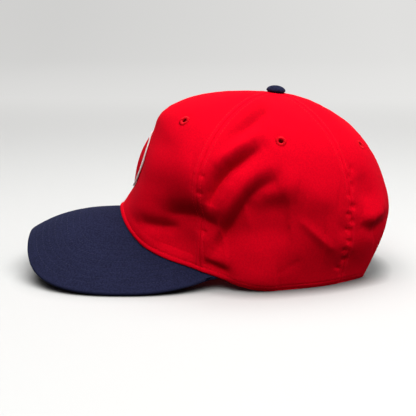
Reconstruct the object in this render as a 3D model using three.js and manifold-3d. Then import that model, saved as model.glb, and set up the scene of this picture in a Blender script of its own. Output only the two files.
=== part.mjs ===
// Snapback cap: six cloth panels, arched brim, covered button, sewn eyelets, raised patch,
// sweatband and closing strap. Millimetres, +Z up. The brim points along -Y and the wearer's
// left is +X. Azimuths are degrees about the button's axis: 0 front, 90 left, 180 back.
import * as THREE from 'three';
import { mergeVertices } from 'three/addons/utils/BufferGeometryUtils.js';
import Module from 'manifold-3d';

const wasm = await Module();
wasm.setup();

// Cloth walls and the clearance between neighbouring pieces
const CLOTH = 1.8;
const GAP = 0.3;

// Crown
const BUTTON_Y = 50.9;
const CROWN_TOP = 133.8;
const TOP_TILT = 5.5;
const TOP_HOLE_RADIUS = 2.8;
const RIM_HALF_WIDTH = 71.5;
const RIM_REST_BLEND = 2;
const FRONT_SEAM = 51;
const BACK_SEAM = 131;

// Brim: a roof-shaped arch with a rounded ridge that droops towards the tip
const BRIM_THICKNESS = 2.8;
const BRIM_HALF_WIDTH = 89.5;
const BRIM_TIP_Y = -137.3;
const BRIM_WIDE_Y = -58;
const BRIM_ROUNDNESS = 2.5;
const BRIM_END_X = 72.5;
const BRIM_END_Y = 2;
const BRIM_END_AZIMUTH = 59;
const BRIM_FRONT_SHARE = 0.72;
const BRIM_END_POWER = 2.2;
const BRIM_GRID = { columns: 44, rows: 7 };
const ARCH_SLOPE = 0.665;
const ARCH_ROUND = 28.4;
const ARCH_CREST_Y = -54.5;
const ARCH_TIP_DROP = 18.3;
const ARCH_TIP_POWER = 3;
const ARCH_REAR_DROP = 15.1;

// Half-moon opening at the back and the strap across it
const OPENING_HALF_WIDTH = 35;
const OPENING_HEIGHT = 46;
const OPENING_BELOW_RIM = 5;
const OPENING_CUT_NEAR = 30;
const OPENING_CUT_DEPTH = 120;
const OPENING_ARC_STEPS = 20;
const STRAP_THICKNESS = 1.6;
const STRAP_LOW = 2;
const STRAP_HIGH = 18;
const STRAP_HALF_SPAN = 41;
const STRAP_PULL_IN = 5;
const STRAP_GRID = { columns: 28, rows: 2 };

// Sweatband inside the rim
const BAND_THICKNESS = 1.2;
const BAND_HEIGHT = 30;
const BAND_LIFT = 0.6;
const BAND_GAP = 0.8;
const BAND_END_AZIMUTH = 136;
const BAND_ROWS = 4;

// Top button
const BUTTON_RADIUS = 7.2;
const BUTTON_HEIGHT = 5.2;
const BUTTON_EDGE = 1.4;
const BUTTON_POST_RADIUS = 2;
const BUTTON_POST_DEPTH = 5;
const BUTTON_UNDERCUT = 0.6;
const BUTTON_RINGS = 5;
const BUTTON_SIDES = 20;

// Eyelets
const EYELET_RADIUS = 4.3;
const EYELET_HOLE_RADIUS = 1.5;
const EYELET_HEIGHT = 2.6;
const EYELET_CORNERS = 6;
const EYELET_SIDES = 14;

// Raised oval patch on the front
const PATCH_Z = 82.8;
const PATCH_HALF_WIDTH = 15;
const PATCH_HALF_HEIGHT = 19;
const PATCH_RAISE = 4.2;
const PATCH_RIM_RAISE = 0.6;
const PATCH_EDGE_WIDTH = 1.6;
const PATCH_EDGE_RAISE = 1;
const PATCH_RINGS = [0.35, 0.7, 1];
const PATCH_SIDES = 28;
const PATCH_EDGE_SIDES = 36;

// Crown sections: where the wall starts at the rim, where it turns into the top, and how far
// its tangents reach. Leans are degrees inwards from upright, going up.
const SECTIONS = [
  { azimuth: 0, rimR: 118.2, rimLean: 40, rimReach: 26, turnR: 89.3, turnZ: 113, turnLean: 19.5,
    below: 28, above: 14, roof: 52 },
  { azimuth: 26, rimR: 110.4, rimLean: -4, rimReach: 27, turnR: 87, turnZ: 103, turnLean: 20,
    below: 27, above: 22, roof: 47 },
  { azimuth: 51, rimR: 87.5, rimLean: -10, rimReach: 20, turnR: 89, turnZ: 83, turnLean: 22,
    below: 20, above: 33, roof: 38 },
  { azimuth: 90, rimR: 71.5, rimLean: -14, rimReach: 22, turnR: 77, turnZ: 73, turnLean: 14,
    below: 20, above: 37, roof: 36 },
  { azimuth: 131, rimR: 69.5, rimLean: -8, rimReach: 22, turnR: 77, turnZ: 65, turnLean: 8,
    below: 20, above: 44, roof: 27 },
  { azimuth: 156, rimR: 75, rimLean: -22, rimReach: 18, turnR: 83, turnZ: 60, turnLean: 11,
    below: 18, above: 61, roof: 19 },
  { azimuth: 180, rimR: 77, rimLean: -28, rimReach: 22, turnR: 85.2, turnZ: 58, turnLean: 12,
    below: 18, above: 65, roof: 15 },
];

// Folds and dents: each follows a path of (y, z) places in the side view and pushes the cloth out
// (+) or in (-), fading over its spread and towards its ends.
const FOLDS = [
  { side: 'left', path: [[42, 123], [30, 115], [20, 107], [12, 99]], push: -2.0, spread: 4.5 },
  { side: 'left', path: [[28, 108], [16, 99], [6, 88]], push: 2.0, spread: 6 },
  { side: 'left', path: [[37, 101], [27, 94], [16, 87], [9, 79], [4, 70], [1, 61]],
    push: -3.6, spread: 5.5 },
  { side: 'left', path: [[42, 88], [28, 78], [20, 66], [13, 51], [1, 36], [-3, 27]],
    push: 1.4, spread: 5.5 },
  { side: 'left', path: [[49, 80], [38, 75], [31, 68], [21, 52], [8, 29]], push: -3.4, spread: 7 },
  { side: 'left', path: [[28, 57], [42, 61], [57, 63]], push: -4.6, spread: 10 },
  { side: 'left', path: [[-36, 38], [-24, 36], [-6, 33]], push: -5.0, spread: 16 },
  { side: 'left', path: [[-30, 54], [-10, 52], [0, 47], [7, 45]], push: -4.0, spread: 9 },
  { side: 'left', path: [[-50, 43], [-38, 43], [-22, 42]], push: -2.4, spread: 5.5 },
  { side: 'left', path: [[16, 8], [32, 7], [50, 9]], push: 4.0, spread: 13 },
  { side: 'left', path: [[70, 68], [92, 64]], push: 1.8, spread: 12 },
  { side: 'left', path: [[66, 51], [77, 40], [88, 29]], push: 1.0, spread: 3.5 },
  { side: 'left', path: [[90, 43], [101, 42]], push: -1.6, spread: 7 },
  { side: 'left', path: [[82, 36], [100, 34], [120, 36]], push: 4.2, spread: 18 },
  { side: 'left', path: [[109, 50], [117, 48], [126, 51]], push: 2.4, spread: 5.5 },
  { side: 'left', path: [[108, 44], [118, 38], [128, 43]], push: -1.4, spread: 4.5 },
  { side: 'left', path: [[110, 78], [113, 66], [120, 62]], push: -1.5, spread: 5.5 },
  { side: 'left', path: [[-2, 26], [14, 21]], push: 1.0, spread: 4 },
  { side: 'left', path: [[-2, 18], [16, 13]], push: -1.8, spread: 3.5 },
  { side: 'left', path: [[10, 38], [32, 44], [58, 48]], push: -6, spread: 13 },
  { side: 'left', path: [[50, 77], [64, 75]], push: 2, spread: 11 },
  { side: 'left', path: [[-46, 86], [-30, 85], [-10, 84]], push: 2.5, spread: 14 },
  { side: 'left', path: [[-44, 36], [-24, 34], [-6, 31]], push: -1, spread: 13 },
  { side: 'left', path: [[112, 54], [120, 53], [130, 55]], push: 2.2, spread: 10 },
  { side: 'right', path: [[38, 104], [24, 92], [10, 80]], push: -3.6, spread: 5.5 },
  { side: 'right', path: [[34, 88], [22, 72], [10, 52]], push: 1.6, spread: 6 },
  { side: 'right', path: [[52, 78], [36, 64], [22, 44]], push: -3.6, spread: 7 },
  { side: 'right', path: [[-30, 50], [-6, 48]], push: -4.4, spread: 14 },
  { side: 'right', path: [[18, 8], [34, 7], [52, 9]], push: 3.2, spread: 13 },
  { side: 'right', path: [[66, 60], [90, 32]], push: 1.2, spread: 4.5 },
  { side: 'right', path: [[82, 36], [100, 34], [120, 36]], push: 3.2, spread: 18 },
  { side: 'right', path: [[-40, 58], [-24, 59], [-6, 56]], push: -2.0, spread: 6 },
  { side: 'right', path: [[110, 56], [118, 54], [127, 55]], push: 1.6, spread: 6 },
];
const FOLD_FADE = 8;
const FOLD_END = 0.3;

// Near the brim the rim is sewn down, and folds fade over this height above it
const RIM_HOLD = 10;
const RIM_FREE_Y = 16;
const RIM_FREE_RUN = 14;

// Panels of one half: azimuths of the two seams, eyelet place and grid
const PANELS = [
  { name: 'front', from: 0, to: FRONT_SEAM, eyeletAzimuth: 28, eyeletZ: 116.5, columns: 10, rows: 16 },
  { name: 'side', from: FRONT_SEAM, to: BACK_SEAM, eyeletAzimuth: 91, eyeletZ: 105, columns: 16, rows: 20 },
  { name: 'back', from: BACK_SEAM, to: 180, eyeletAzimuth: 157, eyeletZ: 98, columns: 10, rows: 16 },
];

const RED_CLOTH = { color: 0xd5081f, roughness: 0.85, metalness: 0 };
const NAVY_CLOTH = { color: 0x23274a, roughness: 0.85, metalness: 0 };
const WHITE_THREAD = { color: 0xf1eee8, roughness: 0.7, metalness: 0 };
const NAVY_PLASTIC = { color: 0x1c2040, roughness: 0.45, metalness: 0 };

const radians = THREE.MathUtils.degToRad;
const { clamp } = THREE.MathUtils;
const bezier = (a, b, c, d, t) =>
  a * (1 - t) ** 3 + 3 * b * t * (1 - t) ** 2 + 3 * c * t ** 2 * (1 - t) + d * t ** 3;

// Height of the brim's upper face
function archDrop(x) {
  return ARCH_SLOPE * (Math.hypot(x, ARCH_ROUND) - ARCH_ROUND);
}

const ARCH_EDGE_SLOPE = ARCH_SLOPE * BRIM_HALF_WIDTH / Math.hypot(BRIM_HALF_WIDTH, ARCH_ROUND);
const BRIM_CREST_Z = BRIM_THICKNESS * Math.cos(Math.atan(ARCH_EDGE_SLOPE)) + archDrop(BRIM_HALF_WIDTH);

function brimTop(x, y) {
  const ahead = Math.max(0, (ARCH_CREST_Y - y) / (ARCH_CREST_Y - BRIM_TIP_Y));
  const behind = Math.max(0, (y - ARCH_CREST_Y) / (BUTTON_Y - ARCH_CREST_Y));
  const drop = ARCH_TIP_DROP * ahead ** ARCH_TIP_POWER + ARCH_REAR_DROP * behind ** 2;
  return BRIM_CREST_Z - archDrop(x) - drop;
}

// The rim sits on the brim in front, and eases down to the ground at the sides and back
function rimHeight(x, y) {
  const arch = brimTop(y > BUTTON_Y ? RIM_HALF_WIDTH : x, y) + GAP;
  if (arch > RIM_REST_BLEND) return arch;
  if (arch < -RIM_REST_BLEND) return 0;
  return (arch + RIM_REST_BLEND) ** 2 / (4 * RIM_REST_BLEND);
}

// One column of the section table at an azimuth, by a cubic that is level at front and back
function sectionValue(column, azimuth) {
  const a = Math.min(Math.abs(azimuth), 180);
  const last = SECTIONS.length - 1;
  const slope = (k) => {
    if (k === 0 || k === last) return 0;
    const [before, after] = [SECTIONS[k - 1], SECTIONS[k + 1]];
    return (after[column] - before[column]) / (after.azimuth - before.azimuth);
  };
  let i = 0;
  while (i < last - 1 && a > SECTIONS[i + 1].azimuth) i += 1;
  const [low, high] = [SECTIONS[i], SECTIONS[i + 1]];
  const third = (high.azimuth - low.azimuth) / 3;
  return bezier(low[column], low[column] + slope(i) * third, high[column] - slope(i + 1) * third,
    high[column], (a - low.azimuth) / (3 * third));
}

function pointAbout(azimuth, radius, z) {
  const angle = radians(azimuth);
  return new THREE.Vector3(radius * Math.sin(angle), BUTTON_Y - radius * Math.cos(angle), z);
}

// Outer face of the crown before folds: rise is 0 at the rim, 1 at the button's axis
function crownBase(azimuth, rise) {
  const s = (column) => sectionValue(column, azimuth);
  const rim = pointAbout(azimuth, s('rimR'), 0);
  const rimZ = rimHeight(rim.x, rim.y);
  const turnLean = radians(s('turnLean'));
  const turnR = s('turnR');
  const turnZ = s('turnZ');
  if (rise <= 0.5) {
    const rimLean = radians(s('rimLean'));
    const r = bezier(s('rimR'), s('rimR') - s('rimReach') * Math.sin(rimLean),
      turnR + s('below') * Math.sin(turnLean), turnR, rise * 2);
    const z = bezier(rimZ, rimZ + s('rimReach') * Math.cos(rimLean),
      turnZ - s('below') * Math.cos(turnLean), turnZ, rise * 2);
    return pointAbout(azimuth, r, z);
  }
  const roofZ = CROWN_TOP + s('roof') * Math.tan(radians(TOP_TILT)) * Math.cos(radians(azimuth));
  const r = bezier(turnR, turnR - s('above') * Math.sin(turnLean), s('roof'), 0, rise * 2 - 1);
  const z = bezier(turnZ, turnZ + s('above') * Math.cos(turnLean), roofZ, CROWN_TOP, rise * 2 - 1);
  return pointAbout(azimuth, r, z);
}

// Outward normal, from small steps in azimuth and rise that stop short of the axis
function crownNormal(azimuth, rise) {
  const turn = 0.4;
  const climb = 0.004;
  const high = Math.min(1 - climb, rise + climb);
  const low = Math.max(0, rise - climb);
  const level = Math.min(rise, high);
  const around = crownBase(azimuth + turn, level).sub(crownBase(azimuth - turn, level));
  const up = crownBase(azimuth, high).sub(crownBase(azimuth, low));
  return around.cross(up).normalize();
}

// Distance from a path of the side view, and the share of its length at the nearest place
function placeOnPath(y, z, path) {
  let away = Infinity;
  let place = 0;
  let done = 0;
  for (let i = 1; i < path.length; i += 1) {
    const [[fromY, fromZ], [toY, toZ]] = [path[i - 1], path[i]];
    const [runY, runZ] = [toY - fromY, toZ - fromZ];
    const length = Math.hypot(runY, runZ);
    const t = clamp(((y - fromY) * runY + (z - fromZ) * runZ) / length ** 2, 0, 1);
    const distance = Math.hypot(y - fromY - t * runY, z - fromZ - t * runZ);
    if (distance < away) {
      away = distance;
      place = done + t * length;
    }
    done += length;
  }
  return { away, share: place / done };
}

function foldPush({ x, y, z }) {
  const side = x >= 0 ? 'left' : 'right';
  let push = 0;
  for (const fold of FOLDS) {
    if (fold.side !== side) continue;
    const { away, share } = placeOnPath(y, z, fold.path);
    const taper = FOLD_END + (1 - FOLD_END) * Math.sqrt(Math.abs(Math.sin(Math.PI * share)));
    push += fold.push * taper * Math.exp(-((away / fold.spread) ** 2));
  }
  const held = 1 - clamp((z - rimHeight(x, y)) / RIM_HOLD, 0, 1);
  const byBrim = clamp((RIM_FREE_Y - y) / RIM_FREE_RUN, 0, 1);
  return push * Math.min(1, Math.abs(x) / FOLD_FADE) * (1 - held * byBrim);
}

// Crown point with its folds, a given depth inside the outer face; the rim itself stays level
function crownPoint(azimuth, rise, depth = 0) {
  const base = crownBase(azimuth, rise);
  const point = base.clone().addScaledVector(crownNormal(azimuth, rise), foldPush(base) - depth);
  if (rise === 0) point.z = rimHeight(point.x, point.y);
  return point;
}

// Rise at which a test on the outer face stops holding, by halving
function riseWhere(azimuth, low, high, isBelow) {
  for (let i = 0; i < 30; i += 1) {
    const middle = (low + high) / 2;
    if (isBelow(crownBase(azimuth, middle))) low = middle;
    else high = middle;
  }
  return (low + high) / 2;
}

function riseAtHeight(azimuth, z) {
  return riseWhere(azimuth, 0, 0.97, (p) => p.z < z);
}

// Where the top is left open for the button's post
function riseAtHole(azimuth) {
  return riseWhere(azimuth, 0.6, 1, (p) => Math.hypot(p.x, p.y - BUTTON_Y) > TOP_HOLE_RADIUS);
}

// Closed wall between two faces given on the same grid; front(i, j) is the face that looks out
function wallFromGrid(front, back, columns, rows) {
  const positions = [];
  const index = [];
  for (const face of [front, back]) {
    for (let j = 0; j <= rows; j += 1) {
      for (let i = 0; i <= columns; i += 1) positions.push(...face(i, j).toArray());
    }
  }
  const inner = (columns + 1) * (rows + 1);
  const at = (i, j) => j * (columns + 1) + i;
  const quad = (a, b, c, d) => index.push(a, b, c, a, c, d);
  for (let j = 0; j < rows; j += 1) {
    for (let i = 0; i < columns; i += 1) {
      quad(at(i, j), at(i + 1, j), at(i + 1, j + 1), at(i, j + 1));
      quad(inner + at(i, j), inner + at(i, j + 1), inner + at(i + 1, j + 1), inner + at(i + 1, j));
    }
  }
  for (let i = 0; i < columns; i += 1) {
    quad(at(i + 1, 0), at(i, 0), inner + at(i, 0), inner + at(i + 1, 0));
    quad(at(i, rows), at(i + 1, rows), inner + at(i + 1, rows), inner + at(i, rows));
  }
  for (let j = 0; j < rows; j += 1) {
    quad(at(0, j), at(0, j + 1), inner + at(0, j + 1), inner + at(0, j));
    quad(at(columns, j + 1), at(columns, j), inner + at(columns, j), inner + at(columns, j + 1));
  }
  return indexedGeometry(positions, index);
}

// Closed ring: a section of points carried round a loop
function ringFromSections(section, steps, corners) {
  const positions = [];
  const index = [];
  for (let k = 0; k < steps; k += 1) {
    for (let n = 0; n < corners; n += 1) positions.push(...section(k, n).toArray());
  }
  for (let k = 0; k < steps; k += 1) {
    for (let n = 0; n < corners; n += 1) {
      const a = k * corners + n;
      const b = k * corners + (n + 1) % corners;
      const c = ((k + 1) % steps) * corners + (n + 1) % corners;
      const d = ((k + 1) % steps) * corners + n;
      index.push(a, b, c, a, c, d);
    }
  }
  return indexedGeometry(positions, index);
}

function indexedGeometry(positions, index) {
  const geometry = new THREE.BufferGeometry();
  geometry.setAttribute('position', new THREE.Float32BufferAttribute(positions, 3));
  geometry.setIndex(index);
  return geometry;
}

function toSolid(geometry) {
  const plain = geometry.clone();
  plain.deleteAttribute('normal');
  plain.deleteAttribute('uv');
  const merged = mergeVertices(plain, 1e-4);
  return new wasm.Manifold(new wasm.Mesh({
    numProp: 3,
    vertProperties: new Float32Array(merged.attributes.position.array),
    triVerts: new Uint32Array(merged.index.array),
  }));
}

function cut(geometry, tools) {
  let solid = toSolid(geometry);
  for (const tool of tools) solid = solid.subtract(toSolid(tool));
  const mesh = solid.getMesh();
  return indexedGeometry(Array.from(mesh.vertProperties), Array.from(mesh.triVerts));
}

function addMesh(group, name, geometry, finish) {
  const faceted = geometry.index ? geometry.toNonIndexed() : geometry;
  faceted.computeVertexNormals();
  const mesh = new THREE.Mesh(faceted, new THREE.MeshStandardMaterial(finish));
  mesh.name = name;
  group.add(mesh);
  return mesh;
}

// A cloth panel between two seams, its edges drawn back from the seam planes
function panelGeometry(panel, sign) {
  const from = sign > 0 ? panel.from : -panel.to;
  const to = sign > 0 ? panel.to : -panel.from;
  const face = (depth) => (i, j) => {
    const azimuth = from + (to - from) * i / panel.columns;
    const rise = riseAtHole(azimuth) * j / panel.rows;
    const point = crownPoint(azimuth, rise, depth);
    const away = i === 0 ? GAP / 2 : i === panel.columns ? -GAP / 2 : 0;
    const angle = radians(azimuth);
    return point.addScaledVector(new THREE.Vector3(Math.cos(angle), Math.sin(angle), 0), away);
  };
  return wallFromGrid(face(0), face(CLOTH), panel.columns, panel.rows);
}

function eyeletPlace(panel, sign) {
  const azimuth = sign * panel.eyeletAzimuth;
  const rise = riseAtHeight(azimuth, panel.eyeletZ);
  const normal = crownNormal(azimuth, rise);
  const turn = new THREE.Quaternion().setFromUnitVectors(new THREE.Vector3(0, 1, 0), normal);
  return { centre: crownPoint(azimuth, rise, CLOTH / 2), turn };
}

function eyeletCutter(place) {
  const radius = EYELET_RADIUS + GAP;
  const cutter = new THREE.CylinderGeometry(radius, radius, 6 * CLOTH, EYELET_SIDES);
  return cutter.applyQuaternion(place.turn).translate(...place.centre.toArray());
}

function eyeletGeometry(place) {
  const middle = (EYELET_RADIUS + EYELET_HOLE_RADIUS) / 2;
  const half = (EYELET_RADIUS - EYELET_HOLE_RADIUS) / 2;
  const profile = [];
  for (let n = 0; n < EYELET_CORNERS; n += 1) {
    const angle = n / EYELET_CORNERS * 2 * Math.PI;
    profile.push(new THREE.Vector2(middle + half * Math.cos(angle), EYELET_HEIGHT / 2 * Math.sin(angle)));
  }
  profile.push(profile[0].clone());
  const ring = new THREE.LatheGeometry(profile, EYELET_SIDES);
  return ring.applyQuaternion(place.turn).translate(...place.centre.toArray());
}

// Half-moon that is cut out of the two back panels
function openingCutter() {
  const outline = new THREE.Shape();
  outline.moveTo(-OPENING_HALF_WIDTH, -OPENING_BELOW_RIM);
  outline.lineTo(OPENING_HALF_WIDTH, -OPENING_BELOW_RIM);
  outline.lineTo(OPENING_HALF_WIDTH, 0);
  outline.absellipse(0, 0, OPENING_HALF_WIDTH, OPENING_HEIGHT, 0, Math.PI, false);
  outline.closePath();
  const block = new THREE.ExtrudeGeometry(outline, {
    depth: OPENING_CUT_DEPTH, bevelEnabled: false, curveSegments: OPENING_ARC_STEPS,
  });
  return block.rotateX(Math.PI / 2).translate(0, BUTTON_Y + OPENING_CUT_NEAR + OPENING_CUT_DEPTH, 0);
}

// Outer edge of the brim in plan: share runs from 0 at the tip to 1 at the end by the crown
function brimOuter(share) {
  const along = Math.abs(share);
  const side = Math.sign(share);
  if (along <= BRIM_FRONT_SHARE) {
    const angle = along / BRIM_FRONT_SHARE * Math.PI / 2;
    const x = BRIM_HALF_WIDTH * Math.max(0, Math.sin(angle)) ** (2 / BRIM_ROUNDNESS);
    const reach = Math.max(0, Math.cos(angle)) ** (2 / BRIM_ROUNDNESS);
    return new THREE.Vector2(side * x, BRIM_WIDE_Y + (BRIM_TIP_Y - BRIM_WIDE_Y) * reach);
  }
  const t = (along - BRIM_FRONT_SHARE) / (1 - BRIM_FRONT_SHARE);
  const x = BRIM_HALF_WIDTH + (BRIM_END_X - BRIM_HALF_WIDTH) * t ** BRIM_END_POWER;
  return new THREE.Vector2(side * x, BRIM_WIDE_Y + (BRIM_END_Y - BRIM_WIDE_Y) * t);
}

function brimInner(share) {
  const azimuth = BRIM_END_AZIMUTH * share;
  const place = pointAbout(azimuth, sectionValue('rimR', azimuth) - CLOTH, 0);
  return new THREE.Vector2(place.x, place.y);
}

function brimGeometry() {
  const { columns, rows } = BRIM_GRID;
  const top = (i, j) => {
    const share = 2 * i / columns - 1;
    const plan = brimOuter(share).lerp(brimInner(share), j / rows);
    return new THREE.Vector3(plan.x, plan.y, brimTop(plan.x, plan.y));
  };
  const under = (i, j) => {
    const p = top(i, j);
    const step = 0.5;
    const slopeX = (brimTop(p.x + step, p.y) - brimTop(p.x - step, p.y)) / (2 * step);
    const slopeY = (brimTop(p.x, p.y + step) - brimTop(p.x, p.y - step)) / (2 * step);
    return p.addScaledVector(new THREE.Vector3(-slopeX, -slopeY, 1).normalize(), -BRIM_THICKNESS);
  };
  return wallFromGrid(top, under, columns, rows);
}

// The band's columns stand behind the panels' own columns, so that the gap stays even
function sweatbandGeometry() {
  const half = [];
  for (const { name, from, to, columns } of PANELS) {
    if (name === 'back') continue;
    for (let i = 1; i <= columns; i += 1) half.push(from + (to - from) * i / columns);
  }
  half.push(BAND_END_AZIMUTH);
  const azimuths = [...half.map((azimuth) => -azimuth).reverse(), 0, ...half];
  const face = (depth) => (i, j) => {
    const azimuth = azimuths[i];
    const rim = crownBase(azimuth, 0);
    const rise = riseAtHeight(azimuth, rim.z + BAND_LIFT + BAND_HEIGHT * j / BAND_ROWS);
    return crownPoint(azimuth, rise, CLOTH + BAND_GAP + depth);
  };
  return wallFromGrid(face(0), face(BAND_THICKNESS), azimuths.length - 1, BAND_ROWS);
}

// The strap hugs the inside of the back panels at its ends and is pulled straighter between them
function strapGeometry() {
  const { columns, rows } = STRAP_GRID;
  const face = (depth) => (i, j) => {
    const turn = STRAP_HALF_SPAN * (2 * i / columns - 1);
    const azimuth = 180 + turn;
    const wrapped = azimuth > 180 ? azimuth - 360 : azimuth;
    const rise = riseAtHeight(wrapped, STRAP_LOW + (STRAP_HIGH - STRAP_LOW) * j / rows);
    const pull = STRAP_PULL_IN * Math.cos(radians(90 * turn / STRAP_HALF_SPAN)) ** 2;
    return crownPoint(wrapped, rise, CLOTH + GAP + pull + depth);
  };
  return wallFromGrid(face(0), face(STRAP_THICKNESS), columns, rows);
}

function buttonGeometry() {
  const profile = [
    new THREE.Vector2(0, -BUTTON_POST_DEPTH),
    new THREE.Vector2(BUTTON_POST_RADIUS, -BUTTON_POST_DEPTH),
    new THREE.Vector2(BUTTON_POST_RADIUS, GAP),
    new THREE.Vector2(BUTTON_RADIUS - BUTTON_UNDERCUT, GAP),
  ];
  for (let n = 0; n < BUTTON_RINGS; n += 1) {
    const angle = n / BUTTON_RINGS * Math.PI / 2;
    const dome = BUTTON_EDGE + (BUTTON_HEIGHT - BUTTON_EDGE) * Math.sin(angle);
    profile.push(new THREE.Vector2(BUTTON_RADIUS * Math.cos(angle), dome));
  }
  profile.push(new THREE.Vector2(0, BUTTON_HEIGHT));
  return new THREE.LatheGeometry(profile, BUTTON_SIDES).rotateX(Math.PI / 2);
}

// Crown point in front of a place of the front view, raised off the cloth
function frontPoint(x, z, raise) {
  let azimuth = 0;
  for (let i = 0; i < 6; i += 1) {
    const base = crownBase(azimuth, riseAtHeight(azimuth, z));
    azimuth = THREE.MathUtils.radToDeg(Math.atan2(x, BUTTON_Y - base.y));
  }
  return crownPoint(azimuth, riseAtHeight(azimuth, z), -raise);
}

// Place on a stiff plate that is straight across the front, raised off the cloth's middle line
function platePoint(x, z, raise) {
  return crownPoint(0, riseAtHeight(0, z), -raise).setX(x);
}

// Point of the patch's oval on the cloth or the plate, share of the way out from its middle and
// spread beyond that
function ovalPoint(place, angle, share, spread, raise) {
  const x = -(PATCH_HALF_WIDTH * share + spread) * Math.sin(angle);
  const z = PATCH_Z + (PATCH_HALF_HEIGHT * share + spread) * Math.cos(angle);
  return place(x, z, raise);
}

// Domed patch on the cloth: rings of points out from the middle on both faces, closed at the edge
function patchGeometry() {
  const positions = [];
  const index = [];
  const domeRaise = (ring) => PATCH_RIM_RAISE + (PATCH_RAISE - PATCH_RIM_RAISE) * (1 - ring ** 2);
  for (const [place, raise] of [[platePoint, (ring) => GAP + domeRaise(ring)], [frontPoint, () => GAP]]) {
    positions.push(...ovalPoint(place, 0, 0, 0, raise(0)).toArray());
    for (const ring of PATCH_RINGS) {
      for (let k = 0; k < PATCH_SIDES; k += 1) {
        const angle = k / PATCH_SIDES * 2 * Math.PI;
        positions.push(...ovalPoint(place, angle, ring, 0, raise(ring)).toArray());
      }
    }
  }
  const last = PATCH_RINGS.length - 1;
  const back = 1 + PATCH_RINGS.length * PATCH_SIDES;
  const at = (ring, k) => 1 + ring * PATCH_SIDES + k % PATCH_SIDES;
  for (let k = 0; k < PATCH_SIDES; k += 1) {
    index.push(0, at(0, k), at(0, k + 1));
    index.push(back, back + at(0, k + 1), back + at(0, k));
    for (let ring = 0; ring < last; ring += 1) {
      const [a, b, c, d] = [at(ring, k), at(ring + 1, k), at(ring + 1, k + 1), at(ring, k + 1)];
      index.push(a, b, c, a, c, d);
      index.push(back + a, back + c, back + b, back + a, back + d, back + c);
    }
    const [a, b] = [at(last, k), at(last, k + 1)];
    index.push(a, back + a, back + b, a, back + b, b);
  }
  return indexedGeometry(positions, index);
}

function patchEdgeGeometry() {
  const [near, far] = [GAP, GAP + PATCH_EDGE_WIDTH];
  const low = { place: frontPoint, raise: GAP };
  const high = { place: platePoint, raise: GAP + PATCH_EDGE_RAISE };
  const corners = [[low, near], [high, near], [high, far], [low, far]];
  const section = (k, n) => {
    const [{ place, raise }, spread] = corners[n];
    return ovalPoint(place, k / PATCH_EDGE_SIDES * 2 * Math.PI, 1, spread, raise);
  };
  return ringFromSections(section, PATCH_EDGE_SIDES, corners.length);
}

function buildCap() {
  const cap = new THREE.Group();
  cap.name = 'snapback_cap';
  for (const [sideName, sign] of [['left', 1], ['right', -1]]) {
    for (const panel of PANELS) {
      const place = eyeletPlace(panel, sign);
      const tools = [eyeletCutter(place)];
      if (panel.name === 'back') tools.push(openingCutter());
      addMesh(cap, `${panel.name}_panel_${sideName}`, cut(panelGeometry(panel, sign), tools), RED_CLOTH);
      addMesh(cap, `eyelet_${panel.name}_${sideName}`, eyeletGeometry(place), RED_CLOTH);
    }
  }
  addMesh(cap, 'brim', brimGeometry(), NAVY_CLOTH);
  addMesh(cap, 'sweatband', sweatbandGeometry(), NAVY_CLOTH);
  addMesh(cap, 'snap_strap', strapGeometry(), NAVY_PLASTIC);
  addMesh(cap, 'front_patch', patchGeometry(), RED_CLOTH);
  addMesh(cap, 'front_patch_edge', patchEdgeGeometry(), WHITE_THREAD);
  const button = addMesh(cap, 'top_button', buttonGeometry(), NAVY_CLOTH);
  button.position.set(0, BUTTON_Y, CROWN_TOP);
  button.rotation.x = -radians(TOP_TILT);
  return cap;
}

// The finished group stands on the ground with its box centred on the origin
function standOnOrigin(cap) {
  const box = new THREE.Box3().setFromObject(cap, true);
  const centre = box.getCenter(new THREE.Vector3());
  cap.position.set(-centre.x, -centre.y, -box.min.z);
  return cap;
}

export default standOnOrigin(buildCap());
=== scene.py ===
"""Looks of a snapback cap around its solids: folded cloth panels, seams, stitches, brim and trim."""

import math
from collections import namedtuple

import bpy
import numpy as np
from bpy.props import FloatProperty, FloatVectorProperty, IntProperty, PointerProperty
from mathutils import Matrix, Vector


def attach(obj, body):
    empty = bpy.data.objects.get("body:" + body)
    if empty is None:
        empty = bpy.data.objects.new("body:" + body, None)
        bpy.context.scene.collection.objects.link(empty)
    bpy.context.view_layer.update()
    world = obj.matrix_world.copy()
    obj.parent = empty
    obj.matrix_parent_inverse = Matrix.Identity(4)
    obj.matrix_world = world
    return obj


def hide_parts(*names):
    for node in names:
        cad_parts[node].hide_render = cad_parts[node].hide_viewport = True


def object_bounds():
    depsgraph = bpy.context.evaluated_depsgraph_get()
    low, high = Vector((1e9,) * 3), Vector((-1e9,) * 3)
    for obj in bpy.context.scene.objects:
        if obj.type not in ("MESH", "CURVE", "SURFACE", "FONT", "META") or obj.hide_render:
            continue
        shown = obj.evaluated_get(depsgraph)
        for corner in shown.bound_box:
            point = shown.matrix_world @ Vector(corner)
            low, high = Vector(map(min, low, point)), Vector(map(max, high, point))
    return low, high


bl_info = {
    "name": "Snapback Cap",
    "version": (1, 0, 0),
    "blender": (4, 5, 0),
    "location": "View3D > Sidebar > Cap",
    "description": "Builds a snapback cap of sewn cloth panels with a stitched brim",
    "category": "Add Mesh",
}

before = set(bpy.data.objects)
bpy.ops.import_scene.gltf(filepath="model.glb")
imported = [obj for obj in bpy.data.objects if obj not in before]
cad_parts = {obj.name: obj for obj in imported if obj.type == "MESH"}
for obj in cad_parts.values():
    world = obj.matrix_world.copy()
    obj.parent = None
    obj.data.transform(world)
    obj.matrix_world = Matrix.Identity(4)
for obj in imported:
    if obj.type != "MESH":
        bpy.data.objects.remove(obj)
CAD_LOW, CAD_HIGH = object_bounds()

# All sizes below are millimetres in the cap's own frame, and angles are degrees about the button's
# axis: 0 is the front, 90 the wearer's left and 180 the back.
MM = 0.001
BODY = "root"
SIDES = (("left", 1), ("right", -1))

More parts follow.
